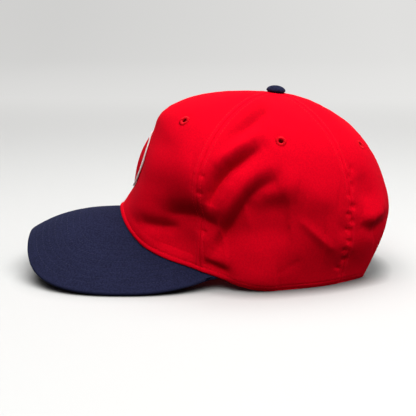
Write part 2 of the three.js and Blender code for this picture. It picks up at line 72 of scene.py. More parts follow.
# Crown
CLOTH = 1.8
GAP = 0.3
BUTTON_Y = 50.9
CROWN_TOP = 133.8
TOP_TILT = 5.5
TOP_HOLE_RADIUS = 2.8
RIM_HALF_WIDTH = 71.5
RIM_REST_BLEND = 2
FRONT_SEAM = 51
BACK_SEAM = 131
SECTION_COLUMNS = ("azimuth", "rim_radius", "rim_lean", "rim_reach", "turn_radius", "turn_height",
                   "turn_lean", "below", "above", "roof")
SECTIONS = np.array((
    (0, 118.2, 40, 26, 89.3, 113, 19.5, 28, 14, 52),
    (26, 110.4, -4, 27, 87, 103, 20, 27, 22, 47),
    (51, 87.5, -10, 20, 89, 83, 22, 20, 33, 38),
    (90, 71.5, -14, 22, 77, 73, 14, 20, 37, 36),
    (131, 69.5, -8, 22, 77, 65, 8, 20, 44, 27),
    (156, 75, -22, 18, 83, 60, 11, 18, 61, 19),
    (180, 77, -28, 22, 85.2, 58, 12, 18, 65, 15),
), float)

# Folds: side, path (y, z) in the side view, push out (+) or in (-), spread
FOLDS = (
    (1, ((42, 123), (30, 115), (20, 107), (12, 99)), -2.0, 4.5),
    (1, ((28, 108), (16, 99), (6, 88)), 2.0, 6),
    (1, ((37, 101), (27, 94), (16, 87), (9, 79), (4, 70), (1, 61)), -3.6, 5.5),
    (1, ((42, 88), (28, 78), (20, 66), (13, 51), (1, 36), (-3, 27)), 1.4, 5.5),
    (1, ((49, 80), (38, 75), (31, 68), (21, 52), (8, 29)), -3.4, 7),
    (1, ((28, 57), (42, 61), (57, 63)), -4.6, 10),
    (1, ((-36, 38), (-24, 36), (-6, 33)), -5.0, 16),
    (1, ((-30, 54), (-10, 52), (0, 47), (7, 45)), -4.0, 9),
    (1, ((-50, 43), (-38, 43), (-22, 42)), -2.4, 5.5),
    (1, ((16, 8), (32, 7), (50, 9)), 4.0, 13),
    (1, ((70, 68), (92, 64)), 1.8, 12),
    (1, ((66, 51), (77, 40), (88, 29)), 1.0, 3.5),
    (1, ((90, 43), (101, 42)), -1.6, 7),
    (1, ((82, 36), (100, 34), (120, 36)), 4.2, 18),
    (1, ((109, 50), (117, 48), (126, 51)), 2.4, 5.5),
    (1, ((108, 44), (118, 38), (128, 43)), -1.4, 4.5),
    (1, ((110, 78), (113, 66), (120, 62)), -1.5, 5.5),
    (1, ((-2, 26), (14, 21)), 1.0, 4),
    (1, ((-2, 18), (16, 13)), -1.8, 3.5),
    (1, ((10, 38), (32, 44), (58, 48)), -6, 13),
    (1, ((50, 77), (64, 75)), 2, 11),
    (1, ((-46, 86), (-30, 85), (-10, 84)), 2.5, 14),
    (1, ((-44, 36), (-24, 34), (-6, 31)), -1, 13),
    (1, ((112, 54), (120, 53), (130, 55)), 2.2, 10),
    (-1, ((38, 104), (24, 92), (10, 80)), -3.6, 5.5),
    (-1, ((34, 88), (22, 72), (10, 52)), 1.6, 6),
    (-1, ((52, 78), (36, 64), (22, 44)), -3.6, 7),
    (-1, ((-30, 50), (-6, 48)), -4.4, 14),
    (-1, ((18, 8), (34, 7), (52, 9)), 3.2, 13),
    (-1, ((66, 60), (90, 32)), 1.2, 4.5),
    (-1, ((82, 36), (100, 34), (120, 36)), 3.2, 18),
    (-1, ((-40, 58), (-24, 59), (-6, 56)), -2.0, 6),
    (-1, ((110, 56), (118, 54), (127, 55)), 1.6, 6),
)

# Folds fade towards the middle line, at the ends of their paths, and by the rim ahead of RIM_FREE_Y
FOLD_FADE = 8
FOLD_END = 0.3
RIM_HOLD = 10
RIM_FREE_Y = 16
RIM_FREE_RUN = 14

# Painted shade, a darker colour where the cloth leans under a fold: reach up and down over which the
# slope is read, slope that gives about two thirds of the shade, the most of it, and how dark it is
PAINTED_SHADE_REACH = 2
PAINTED_SHADE_SLOPE = 0.8
PAINTED_SHADE_SHARE = 0.85
PAINTED_SHADE_TONE = 0.12

# Fine creases, in the same columns, that only the finished cloth has
CREASES = (
    (1, ((42, 123), (31, 115), (22, 107)), -0.8, 3),
    (1, ((34, 99.5), (26, 94), (16, 87), (9, 79), (4, 70), (1, 62)), -4.4, 3.2),
    (1, ((47, 80), (37, 75), (30, 68), (20, 52), (8, 31), (3, 23)), -2.4, 4.2),
    (1, ((-30, 53.5), (-10, 51.5), (0, 47.5), (8, 46)), -3.8, 7.5),
    (1, ((-48, 43), (-38, 43), (-24, 42.5)), -1.2, 4.5),
    (1, ((-1, 18), (15, 13.5)), -1.6, 2.5),
    (1, ((50, 13), (66, 22)), -0.6, 4),
    (1, ((90, 14), (104, 24)), -0.6, 4),
    (1, ((66, 51), (77, 40), (88, 29)), 0.5, 2),
    (-1, ((38, 104), (24, 92), (10, 80)), -4.0, 4.5),
    (-1, ((50, 78), (36, 64), (22, 46)), -3.0, 4.5),
    (-1, ((-38, 56), (-24, 57), (-6, 54)), -2.4, 5),
    (-1, ((10, 10), (18, 8)), -0.9, 3),
    (-1, ((48, 16), (62, 24)), -0.6, 4),
    (-1, ((64, 61), (90, 31)), 0.8, 2),
)
CREASE_ROUND = 0.7

# Pinches across the back and front seams: places of the side view (y, z), and their shape
PINCHES = ((103, 84), (101, 79), (103.5, 73), (100.5, 66.5), (103, 58), (99.5, 53), (102, 48), (99, 42),
           (99.5, 34), (96.5, 27.5), (97.5, 20), (94, 13),
           (-3, 82), (-5, 70), (-4, 41))
PINCH_HALF_WIDTH = 1.8
PINCH_SLANT = 0.9
PINCH_PUSH = -1.2
PINCH_SPREAD = 1.6

# Seams of one half: azimuth, height of the puckers along it and their length
SEAMS = ((0, 0.08, 11), (FRONT_SEAM, 0.12, 10), (BACK_SEAM, 0.15, 13), (180, 0.12, 12))
SEAM_REACH = 60
PUCKER_REACH = 6
PUCKER_WANDER = 1.9
PUCKER_WANDER_LENGTH = 3.7
SEAM_ROUND = 0.9
# Paler colour on the welt beside a seam: partly wear, partly a painted highlight where the welt catches
# light
SEAM_WEAR_AND_HIGHLIGHT = 0.7
WELT_MIDDLE = 1.8
WELT_SPREAD = 1.3
GROOVE_SPREAD = 0.5
EDGE_ROUND = 1.0
EDGE_FLAT = 0.1
WALL_LEAST = 0.15
HEM_ROLL_END = 66
HEM_ROLL_FADE = 14
HEM_ROLL_REST = 0.2
HEM_GROOVE = 1.6
# Paler colour along the hem roll by the brim, its middle and spread as shares of the hem's width: partly
# wear, partly a painted highlight on the roll
HEM_WEAR_AND_HIGHLIGHT_MIDDLE = 0.4
HEM_WEAR_AND_HIGHLIGHT_SPREAD = 0.35
RIM_RISE = 0.12
TUCK_DEPTH = 1.3
TUCK_HEIGHT = 6
SEAM_CLEAR = 0.004
SEAM_FADE_START = 5
SEAM_FADE_RUN = 6

# Rows of stitches: one stitch, points of their guides, and how far they keep from edges
STITCH_PITCH = 2.7
STITCH_LENGTH = 2.1
STITCH_WIDTH = 0.5
STITCH_HEIGHT = 0.36
STITCH_SLANT = 4
ROW_CLEAR = 1.5
ROW_BUTTON_CLEAR = 2
SEAM_ROW_TOP = 0.985
SEAM_ROW_POINTS = 160
HEM_ROW_START = 0.6
HEM_ROW_POINTS = 320
HEM_ARC_POINTS = 70
SHORTEST_RUN = 3

# Dense threads round an eyelet or the patch, over a solid core
CORE_SHARE = 0.8
CORE_CORNERS = 12
DENSE_LENGTH = 0.62
DENSE_UNEVENNESS = 0.05

# Gentle unevenness of the cloth: share, and two crossed waves with their run along x, y, z and start
RIPPLES = (
    (0.7, ((0.10, 0, 0.08), 1.3), ((0, 0.09, -0.06), 0.4)),
    (0.3, ((0, 0.23, 0.17), 0), ((-0.14, 0, 0.19), 2.0)),
)

# Searches on the crown: steps for its normals, rises between which an answer lies, and rounds
NORMAL_TURN = 0.4
NORMAL_CLIMB = 0.004
HEIGHT_SEARCH = (0.0, 0.97)
HOLE_SEARCH = (0.6, 1.0)
RIM_SEARCH = (0.0, 0.4)
HALVINGS = 24
OPENING_START = 155.0
OPENING_ROUNDS = 10
FRONT_ROUNDS = 5
MERIDIAN_STEPS = 120
TINY = 1e-6

# Panels of one half: their seams, their eyelets' places, and the cloth's grid
Panel = namedtuple("Panel", "name start end eyelet_azimuth eyelet_height columns rows")
PANELS = (
    Panel("front", 0, FRONT_SEAM, 28, 116.5, 90, 130),
    Panel("side", FRONT_SEAM, BACK_SEAM, 91, 105, 130, 180),
    Panel("back", BACK_SEAM, 180, 157, 98, 90, 160),
)
GRID_CLUSTER = 0.75
BACK_SEAM_SHARE = 0.93

# Eyelets
EYELET_RADIUS = 4.3
EYELET_HOLE = 1.5
EYELET_HEIGHT = 2.6
EYELET_CUT = 2.6
EYELET_SINK = 0.35
EYELET_SINK_SPREAD = 1.6
EYELET_THREADS = 46
EYELET_SLANT = 6
EYELET_SIDES = 40

# Half-moon opening and strap
OPENING_HALF_WIDTH = 35
OPENING_HEIGHT = 46
STRAP_THICKNESS = 1.6
STRAP_LOW = 2
STRAP_HIGH = 18
STRAP_HALF_SPAN = 41
STRAP_PULL_IN = 5
STRAP_GRID = (120, 14)
STRAP_PEG_SPAN = 22
STRAP_PEG_PITCH = 9.5
STRAP_PEG_WIDTH = 5
STRAP_PEG_HEIGHT = 2.4

# Sweatband
BAND_THICKNESS = 1.2
BAND_HEIGHT = 30
BAND_LIFT = 0.6
BAND_GAP = 0.8
BAND_END = 136
BAND_GRID = (240, 20)
BAND_ROW = 4

# Brim
BRIM_THICKNESS = 2.8
BRIM_HALF_WIDTH = 89.5
BRIM_TIP_Y = -137.3
BRIM_WIDE_Y = -58
BRIM_ROUNDNESS = 2.5
BRIM_END_X = 72.5
BRIM_END_Y = 2
BRIM_END_AZIMUTH = 59
BRIM_FRONT_SHARE = 0.72
BRIM_END_POWER = 2.2
BRIM_GRID = (220, 64)
ARCH_SLOPE = 0.665
ARCH_ROUND = 28.4
ARCH_CREST_Y = -54.5
ARCH_TIP_DROP = 18.3
ARCH_TIP_POWER = 3
ARCH_REAR_DROP = 15.1
BRIM_ROW_CLEAR = 3.5
BRIM_ROW_SLACK = 0.4
BRIM_ROW_POINTS = 420
BRIM_LINE_POINTS = 3001
BRIM_STITCH_WIDTH = 0.4
BRIM_STITCH_HEIGHT = 0.26
BRIM_GROOVE_SPREAD = 0.8
BRIM_RUB = 0.6
BRIM_RUB_SPREAD = 1.2
BRIM_MERGE = 0.01

# Button
BUTTON_RADIUS = 7.2
BUTTON_HEIGHT = 5.2
BUTTON_EDGE = 1.4
BUTTON_POST_RADIUS = 2
BUTTON_POST_DEPTH = 5
BUTTON_UNDERCUT = 0.6
BUTTON_SIDES = 96
BUTTON_RINGS = 18
BUTTON_PLEATS = 16
BUTTON_PLEAT_DEPTH = 0.1
BUTTON_PLEAT_SPREAD = 1.2
BUTTON_PLEAT_CLEAR = 1
BUTTON_UNDER_ANGLE = 0.5
BUTTON_RUB = 0.5
BUTTON_RUB_SPREAD = 1.0

# Raised oval patch
PATCH_Z = 82.8
PATCH_HALF_WIDTH = 15
PATCH_HALF_HEIGHT = 19
PATCH_RAISE = 4.2
PATCH_RIM_RAISE = 0.6
PATCH_EDGE_WIDTH = 1.6
PATCH_EDGE_RAISE = 1.0
PATCH_THREAD_HEIGHT = 1.2
PATCH_THREAD_PITCH = 0.5
PATCH_THREAD_SLANT = 8
PATCH_SIDES = 96
PATCH_RINGS = 26

# Weave, thread and plastic: turns of the ribs, shares of the relief and dye, scales of the noises
TWILL_TURN = 58
YARN_TURN = -32
TWILL_RELIEF = 0.7
YARN_RELIEF = 0.3
MOTTLE_SCALE = 55
MOTTLE_SHARE = 0.4
SLUB_SCALE = 800
SLUB_SHARE = 0.6
SLUB_RANGE = (0.38, 0.62)
LINT_SCALE = 1400
THREAD_TURN = 35
THREAD_TWIST = 0.3
THREAD_MOTTLE_SCALE = 240
NAVY_THREAD_SHADE = 1.2
PLASTIC_GRAIN_SCALE = 900
PLASTIC_CLOUD_SCALE = 40
RED_SHEEN = (1.0, 0.02, 0.08, 1.0)
NAVY_SHEEN = (0.35, 0.4, 0.7, 1.0)
WHITE_SHEEN = (1.0, 0.97, 0.92, 1.0)

# Floor and backdrop, in metres: its run from front to back, the bend and the height behind it, and
# the half width; its colour, and the painted contact shadow's colour, reach and power; where it goes over
# into the backdrop, and the backdrop's glow
FLOOR_RUN = (4.0, 1.0, 0, -1.0, -2.0)
FLOOR_BACK = 3.0
FLOOR_BEND = 0.9
FLOOR_WALL = 3.0
FLOOR_HALF_WIDTH = 6.0
FLOOR_BEND_STEPS = 17
FLOOR_PALE = (0.65, 0.65, 0.64, 1)
FLOOR_PAINTED_SHADOW = (0.02, 0.02, 0.02, 1)
FLOOR_SHADOW_REACH = 0.02
FLOOR_SHADOW_POWER = 1.5
BACKDROP_START = -0.15
BACKDROP_END = -1.5
GLOW_TINT = (1, 0.995, 0.98, 1)
GLOW_DEPTHS = (-0.4, -3.5)
GLOW_BY_DEPTH = (0.8, 0.69)
GLOW_SIDES = (-0.7, 0.7)
GLOW_BY_SIDE = (0.92, 1.08)

# Lights, in metres: place, aim and size
KEY_LIGHT = ((0.5, 0.12, 1.3), (0.5, 0.12, 0), (3.0, 1.6))
FILL_LIGHT = ((0.4, 1.2, 1.4), (0, 0, 0.07), (0.9, 0.9))
SENSOR_WIDTH = 36

# Kind of a node group's socket, by the type of its default
SOCKET_KINDS = {float: "NodeSocketFloat", int: "NodeSocketInt", type(None): "NodeSocketMaterial"}

# From the cap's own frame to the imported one
SHIFT_Y = CAD_LOW.y / MM - BRIM_TIP_Y


def to_frame(points):
    """Millimetres of the cap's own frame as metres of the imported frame."""
    return (np.asarray(points, float) + (0, SHIFT_Y, 0)) * MM


def length_property(name, description, millimetres):
    return FloatProperty(name=name, description=description, default=millimetres * MM, min=0,
                         precision=5, subtype="DISTANCE", unit="LENGTH")


def colour_property(name, description, colour):
    return FloatVectorProperty(name=name, description=description, default=colour, size=3,
                               min=0, max=1, subtype="COLOR")


class CapSewing(bpy.types.PropertyGroup):
    """Hems, seams and stitches."""
    hem_width: length_property("Hem width", "Width of the rolled hem at the rim", 3.2)
    hem_roll: length_property("Hem roll", "How far the hem stands out", 0.55)
    hem_row: length_property("Hem row", "Distance of the hem's stitches from the rim", 3.8)
    seam_depth: length_property("Seam depth", "Depth of the crease where two panels meet", 0.45)
    seam_row: length_property("Seam row", "Distance of the topstitches from a seam", 3.0)
    welt: length_property("Welt", "Height of the cloth folded under beside a seam", 0.16)
    groove: length_property("Groove", "How far a row of stitches pulls the cloth in", 0.14)
    stitch_pitch: length_property("Stitch pitch", "Distance from one stitch to the next", STITCH_PITCH)
    stitch_length: length_property("Stitch length", "Length of one stitch", STITCH_LENGTH)
    stitch_width: length_property("Stitch width", "Width of the thread in a stitch", STITCH_WIDTH)
    stitch_height: length_property("Stitch height", "Height of the thread in a stitch", STITCH_HEIGHT)
    ripple: length_property("Ripple", "Height of the cloth's gentle unevenness", 0.3)


class CapBrim(bpy.types.PropertyGroup):
    """Sizes of the brim's stitched rows."""
    first_row: length_property("First row", "Distance of the first row of stitches from the edge", 7.5)
    row_spacing: length_property("Row spacing", "Distance between rows of stitches", 4.6)
    rows: IntProperty(name="Rows", description="Rows of stitches on each face", default=8, min=0)
    groove: length_property("Groove", "How far a row of stitches pulls the cloth in", 0.12)


class CapFinish(bpy.types.PropertyGroup):
    """Colours and weave."""
    red: colour_property("Red cloth", "Colour of the crown's twill", (0.77, 0.0004, 0.012))
    navy: colour_property("Navy cloth", "Colour of the brim's twill", (0.0138, 0.0153, 0.0405))
    white: colour_property("White thread", "Colour of the patch's edge", (0.86, 0.82, 0.75))
    plastic: colour_property("Navy plastic", "Colour of the strap", (0.012, 0.014, 0.045))
    twill_pitch: length_property("Twill pitch", "Distance between two diagonal ribs", 0.75)
    yarn_pitch: length_property("Yarn pitch", "Distance between two cross yarns", 0.5)


class CapStage(bpy.types.PropertyGroup):
    """Camera, floor and lights."""
    distance: length_property("Camera distance", "Distance from the camera to its aim", 750)
    elevation: FloatProperty(name="Elevation", description="Camera angle above the floor",
                             default=math.radians(11.5), subtype="ANGLE", unit="ROTATION")
    yaw: FloatProperty(name="Yaw", description="Camera angle from the wearer's left towards the back",
                       default=math.radians(1), subtype="ANGLE", unit="ROTATION")
    aim_height: length_property("Aim height", "Height of the camera's aim above the floor", 44.82)
    lens: FloatProperty(name="Lens", description="Focal length on a 36 mm sensor", default=84.19,
                        unit="CAMERA")
    key_power: FloatProperty(name="Key power", description="Power of the light overhead", default=45.5,
                             subtype="POWER", unit="POWER")
    fill_power: FloatProperty(name="Fill power", description="Power of the light behind the cap",
                              default=6, subtype="POWER", unit="POWER")
    ambient: FloatProperty(name="Ambient", description="Strength of the light from all round",
                           default=0.11, min=0)


# Nodes

def node(tree, kind, inputs=None, **settings):
    """New node with its settings; an input is a value or another node's output."""
    made = tree.nodes.new(kind)
    for key, value in settings.items():
        setattr(made, key, value)
    for key, value in (inputs or {}).items():
        if isinstance(value, bpy.types.NodeSocket):
            tree.links.new(value, made.inputs[key])
        else:
            made.inputs[key].default_value = value
    return made


def maths(tree, operation, *values):
    return node(tree, "ShaderNodeMath", dict(enumerate(values)), operation=operation).outputs[0]


def weighted(tree, first, first_share, second, second_share):
    return maths(tree, "ADD", maths(tree, "MULTIPLY", first, first_share),
                 maths(tree, "MULTIPLY", second, second_share))


def stored(tree, name, kind):
    """Value that the points of a mesh carry, in a geometry tree."""
    return node(tree, "GeometryNodeInputNamedAttribute", {"Name": name}, data_type=kind).outputs[0]


def vector_maths(tree, operation, inputs):
    return node(tree, "ShaderNodeVectorMath", inputs, operation=operation).outputs[0]


def new_tree(name, sockets):
    """Geometry tree with its group nodes: sockets are names with their defaults, None for a material."""
    tree = bpy.data.node_groups.new(name, "GeometryNodeTree")
    for way in ("OUTPUT", "INPUT"):
        tree.interface.new_socket("Geometry", in_out=way, socket_type="NodeSocketGeometry")
    for label, default in sockets.items():
        item = tree.interface.new_socket(label, in_out="INPUT", socket_type=SOCKET_KINDS[type(default)])
        if default is not None:
            item.default_value = default
    inlet = tree.nodes.new("NodeGroupInput").outputs
    outlet = tree.nodes.new("NodeGroupOutput").inputs
    return tree, inlet, outlet


def stitch_tree(name):
    """Threads along the loose edges of a mesh, laid on its lift attribute; faces are kept."""
    tree, inlet, outlet = new_tree(name, {
        "Pitch": STITCH_PITCH * MM, "Along": STITCH_LENGTH * MM, "Across": STITCH_WIDTH * MM,
        "Height": STITCH_HEIGHT * MM, "Slant": 0.0, "Unevenness": 0.1, "Seed": 1, "Thread": None,
    })
    neighbours = node(tree, "GeometryNodeInputMeshEdgeNeighbors")
    loose = node(tree, "FunctionNodeCompare", {2: neighbours.outputs[0], 3: 0},
                 data_type="INT", operation="EQUAL")
    parts = node(tree, "GeometryNodeSeparateGeometry",
                 {0: inlet["Geometry"], 1: loose.outputs[0]}, domain="EDGE")
    guides = node(tree, "GeometryNodeMeshToCurve", {0: parts.outputs[0]})
    spots = node(tree, "GeometryNodeCurveToPoints",
                 {"Curve": guides.outputs[0], "Length": inlet["Pitch"]}, mode="LENGTH")
    lift = stored(tree, "lift", "FLOAT_VECTOR")
    facing = node(tree, "FunctionNodeAlignRotationToVector", {"Vector": spots.outputs["Tangent"]}, axis="X")
    upright = node(tree, "FunctionNodeAlignRotationToVector",
                   {"Rotation": facing.outputs[0], "Vector": lift}, axis="Z", pivot_axis="X")
    slant = node(tree, "ShaderNodeCombineXYZ", {2: inlet["Slant"]})
    turned = node(tree, "FunctionNodeRotateRotation", {0: upright.outputs[0], 1: slant.outputs[0]},
                  rotation_space="LOCAL")
    size = node(tree, "ShaderNodeCombineXYZ", {0: inlet["Along"], 1: inlet["Across"], 2: inlet["Height"]})
    change = node(tree, "FunctionNodeRandomValue", {
        2: maths(tree, "SUBTRACT", 1.0, inlet["Unevenness"]),
        3: maths(tree, "ADD", 1.0, inlet["Unevenness"]),
        "Seed": inlet["Seed"],
    }, data_type="FLOAT")
    scale = vector_maths(tree, "SCALE", {0: size.outputs[0], "Scale": change.outputs[1]})
    thread = node(tree, "GeometryNodeMeshUVSphere", {"Segments": 8, "Rings": 5, "Radius": 0.5})
    placed = node(tree, "GeometryNodeInstanceOnPoints", {
        "Points": spots.outputs[0], "Instance": thread.outputs[0], "Rotation": turned.outputs[0],
        "Scale": scale,
    })
    real = node(tree, "GeometryNodeRealizeInstances", {0: placed.outputs[0]})
    smooth = node(tree, "GeometryNodeSetShadeSmooth", {0: real.outputs[0]})
    coloured = node(tree, "GeometryNodeSetMaterial", {0: smooth.outputs[0], "Material": inlet["Thread"]})
    joined = node(tree, "GeometryNodeJoinGeometry")
    tree.links.new(coloured.outputs[0], joined.inputs[0])
    tree.links.new(parts.outputs[1], joined.inputs[0])
    tree.links.new(joined.outputs[0], outlet[0])
    return tree


def arch_tree(name):
    """Flat plan of the brim, arched, given its thickness and rounded at the edge."""
    tree, inlet, outlet = new_tree(name, {
        "Thickness": BRIM_THICKNESS * MM, "Arch slope": ARCH_SLOPE, "Ridge round": ARCH_ROUND * MM,
        "Crest height": 0.0, "Crest place": 0.0, "Tip run": 1.0, "Tip drop": ARCH_TIP_DROP * MM,
        "Tip power": float(ARCH_TIP_POWER), "Rear run": 1.0, "Rear drop": ARCH_REAR_DROP * MM,
        "Cloth": None,
    })
    place = node(tree, "ShaderNodeSeparateXYZ", {0: node(tree, "GeometryNodeInputPosition").outputs[0]})
    x, y = place.outputs[0], place.outputs[1]
    span = maths(tree, "SQRT", maths(tree, "ADD", maths(tree, "MULTIPLY", x, x),
                                     maths(tree, "MULTIPLY", inlet["Ridge round"], inlet["Ridge round"])))
    arch = maths(tree, "MULTIPLY", inlet["Arch slope"], maths(tree, "SUBTRACT", span, inlet["Ridge round"]))
    ahead = maths(tree, "MAXIMUM", 0.0, maths(
        tree, "DIVIDE", maths(tree, "SUBTRACT", inlet["Crest place"], y), inlet["Tip run"]))
    behind = maths(tree, "MAXIMUM", 0.0, maths(
        tree, "DIVIDE", maths(tree, "SUBTRACT", y, inlet["Crest place"]), inlet["Rear run"]))
    tip = maths(tree, "MULTIPLY", inlet["Tip drop"], maths(tree, "POWER", ahead, inlet["Tip power"]))
    rear = maths(tree, "MULTIPLY", inlet["Rear drop"], maths(tree, "POWER", behind, 2.0))
    height = maths(tree, "SUBTRACT", inlet["Crest height"],
                   maths(tree, "ADD", arch, maths(tree, "ADD", tip, rear)))
    arched = node(tree, "ShaderNodeCombineXYZ", {0: x, 1: y, 2: height})
    top = node(tree, "GeometryNodeSetPosition",
               {"Geometry": inlet["Geometry"], "Position": arched.outputs[0]})
    kept = node(tree, "GeometryNodeStoreNamedAttribute", {
        "Geometry": top.outputs[0], "Name": "lift",
        "Value": node(tree, "GeometryNodeInputNormal").outputs[0],
    }, data_type="FLOAT_VECTOR", domain="POINT")
    lift = stored(tree, "lift", "FLOAT_VECTOR")
    edge = stored(tree, "edge", "FLOAT")
    row = stored(tree, "row", "FLOAT")
    half = maths(tree, "MULTIPLY", inlet["Thickness"], 0.5)
    inward = maths(tree, "MAXIMUM", 0.0, maths(tree, "SUBTRACT", 1.0, maths(tree, "DIVIDE", edge, half)))
    rounded = maths(tree, "SQRT", maths(tree, "SUBTRACT", 1.0, maths(tree, "MULTIPLY", inward, inward)))
    half_round = maths(tree, "MULTIPLY", half, rounded)
    above = maths(tree, "ADD", maths(tree, "SUBTRACT", half_round, half), row)
    downward = maths(tree, "MULTIPLY", -1.0, maths(tree, "ADD", half_round, half))
    below = maths(tree, "SUBTRACT", downward, row)
    faces = []
    for depth in (above, below):
        offset = vector_maths(tree, "SCALE", {0: lift, "Scale": depth})
        faces.append(node(tree, "GeometryNodeSetPosition", {"Geometry": kept.outputs[0], "Offset": offset}))
    under = node(tree, "GeometryNodeFlipFaces", {0: faces[1].outputs[0]})
    joined = node(tree, "GeometryNodeJoinGeometry")
    tree.links.new(faces[0].outputs[0], joined.inputs[0])
    tree.links.new(under.outputs[0], joined.inputs[0])
    closed = node(tree, "GeometryNodeMergeByDistance",
                  {"Geometry": joined.outputs[0], "Distance": BRIM_MERGE * MM})
    smooth = node(tree, "GeometryNodeSetShadeSmooth", {0: closed.outputs[0]})
    real = node(tree, "GeometryNodeRealizeInstances", {0: smooth.outputs[0]})
    coloured = node(tree, "GeometryNodeSetMaterial", {0: real.outputs[0], "Material": inlet["Cloth"]})
    tree.links.new(coloured.outputs[0], outlet[0])
    return tree


def run_tree(piece, tree, settings):
    """Replaces a piece's mesh by what a tree makes of it."""
    modifier = piece.modifiers.new(tree.name, "NODES")
    modifier.node_group = tree
    for item in tree.interface.items_tree:
        if item.in_out == "INPUT" and item.name in settings:
            modifier[item.identifier] = settings[item.name]
    bpy.context.view_layer.update()
    evaluated = piece.evaluated_get(bpy.context.evaluated_depsgraph_get())
    guide = piece.data
    piece.data = bpy.data.meshes.new_from_object(evaluated)
    piece.modifiers.clear()
    bpy.data.meshes.remove(guide)
    if not piece.data.polygons:
        raise RuntimeError(f"{piece.name}: {tree.name} made no faces")
    return piece


def shared_tree(name, make):
    """A tree that several pieces use, made once."""
    return bpy.data.node_groups.get(name) or make(name)


# Materials

def new_material(name):
    material = bpy.data.materials.new(name)
    material.use_nodes = True
    material.node_tree.nodes.clear()
    return material, material.node_tree


def finish_material(material, tree, inputs):
    surface = node(tree, "ShaderNodeBsdfPrincipled", inputs)
    node(tree, "ShaderNodeOutputMaterial", {"Surface": surface.outputs[0]})
    return material


def noise(tree, vector, scale, detail):
    return node(tree, "ShaderNodeTexNoise",
                {"Vector": vector, "Scale": scale, "Detail": detail}).outputs[0]


def remap(tree, value, low, high, start=0.0, end=1.0, **settings):
    """Value that runs from start to end, as one that runs from low to high."""
    return node(tree, "ShaderNodeMapRange", {
        "Value": value, "From Min": start, "From Max": end, "To Min": low, "To Max": high,
    }, **settings).outputs[0]


def blend_colours(tree, factor, first, second):
    return node(tree, "ShaderNodeMix", {0: factor, 6: first, 7: second}, data_type="RGBA").outputs[2]


def shade(colour, share):
    return (*(min(1, channel * share) for channel in colour), 1)


def ribs(tree, vector, turn, pitch, wobble):
    turned = node(tree, "ShaderNodeMapping", {"Vector": vector, "Rotation": (0, 0, math.radians(turn))})
    return node(tree, "ShaderNodeTexWave", {
        "Vector": turned.outputs[0], "Scale": 2 * math.pi / (20 * pitch), "Distortion": wobble,
        "Detail": 1.0,
    }).outputs[1]


def twill_material(name, colour, finish, sheen_tint, grain):
    """Cotton twill: diagonal ribs over cross yarns, mottled dye, paler where worn and with a painted
    highlight on welts and the hem roll, and painted shade under folds.
    """
    material, tree = new_material(name)
    weave = node(tree, "ShaderNodeAttribute", attribute_name="weave").outputs["Vector"]
    rub = node(tree, "ShaderNodeAttribute", attribute_name="rub").outputs["Fac"]
    under = node(tree, "ShaderNodeAttribute", attribute_name="under").outputs["Fac"]
    place = node(tree, "ShaderNodeTexCoord").outputs["Object"]
    twill = ribs(tree, weave, TWILL_TURN, finish.twill_pitch, 0.7)
    yarn = ribs(tree, weave, YARN_TURN, finish.yarn_pitch, 0.5)
    relief = weighted(tree, twill, TWILL_RELIEF, yarn, YARN_RELIEF)
    mottle = noise(tree, place, MOTTLE_SCALE, 4)
    slub = noise(tree, place, SLUB_SCALE, 2)
    lint = noise(tree, place, LINT_SCALE, 2)
    specks = remap(tree, slub, 0.0, 1.0, *SLUB_RANGE)
    uneven = weighted(tree, mottle, MOTTLE_SHARE, specks, SLUB_SHARE)
    dyed = blend_colours(tree, uneven, shade(colour, 1 - grain), shade(colour, 1 + grain))
    woven = blend_colours(tree, maths(tree, "MULTIPLY", relief, 0.3), dyed, shade(colour, 1.25))
    # Paler where worn, and a painted highlight on seam welts and the hem roll
    worn_and_highlighted = blend_colours(tree, maths(tree, "MULTIPLY", rub, 0.5), woven, shade(colour, 1.5))
    # Painted shade: a darker colour where the cloth leans under a fold
    painted_fold_shade = maths(tree, "MULTIPLY", under, PAINTED_SHADE_SHARE)
    folded = blend_colours(tree, painted_fold_shade, worn_and_highlighted, shade(colour, PAINTED_SHADE_TONE))
    fuzzy = maths(tree, "ADD", relief, maths(tree, "MULTIPLY", lint, 0.5))
    bump = node(tree, "ShaderNodeBump", {"Strength": 0.45, "Distance": 0.12 * MM, "Height": fuzzy})
    return finish_material(material, tree, {
        "Base Color": folded, "Roughness": remap(tree, mottle, 0.82, 0.95), "Normal": bump.outputs[0],
        "Specular IOR Level": 0.02, "Sheen Weight": 0.1, "Sheen Roughness": 0.5, "Sheen Tint": sheen_tint,
    })


def thread_material(name, colour, sheen_tint):
    """Sewing thread: fine twist and uneven dye."""
    material, tree = new_material(name)
    place = node(tree, "ShaderNodeTexCoord").outputs["Object"]
    twist = ribs(tree, place, THREAD_TURN, THREAD_TWIST * MM, 0.4)
    mottle = noise(tree, place, THREAD_MOTTLE_SCALE, 3)
    dyed = blend_colours(tree, mottle, shade(colour, 0.85), shade(colour, 1.15))
    spun = blend_colours(tree, maths(tree, "MULTIPLY", twist, 0.35), dyed, shade(colour, 1.3))
    bump = node(tree, "ShaderNodeBump", {"Strength": 0.3, "Distance": 0.06 * MM, "Height": twist})
    return finish_material(material, tree, {
        "Base Color": spun, "Roughness": remap(tree, mottle, 0.55, 0.75), "Normal": bump.outputs[0],
        "Specular IOR Level": 0.12, "Sheen Weight": 0.1, "Sheen Roughness": 0.4, "Sheen Tint": sheen_tint,
    })


def plastic_material(name, colour):
    """Moulded strap: smooth with a faint moulded grain."""
    material, tree = new_material(name)
    place = node(tree, "ShaderNodeTexCoord").outputs["Object"]
    grain = noise(tree, place, PLASTIC_GRAIN_SCALE, 3)
    cloud = noise(tree, place, PLASTIC_CLOUD_SCALE, 2)
    tone = blend_colours(tree, cloud, shade(colour, 0.85), shade(colour, 1.2))
    bump = node(tree, "ShaderNodeBump", {"Strength": 0.15, "Distance": 0.05 * MM, "Height": grain})
    return finish_material(material, tree, {
        "Base Color": tone, "Roughness": remap(tree, grain, 0.34, 0.5), "Normal": bump.outputs[0],
        "Specular IOR Level": 0.4,
    })


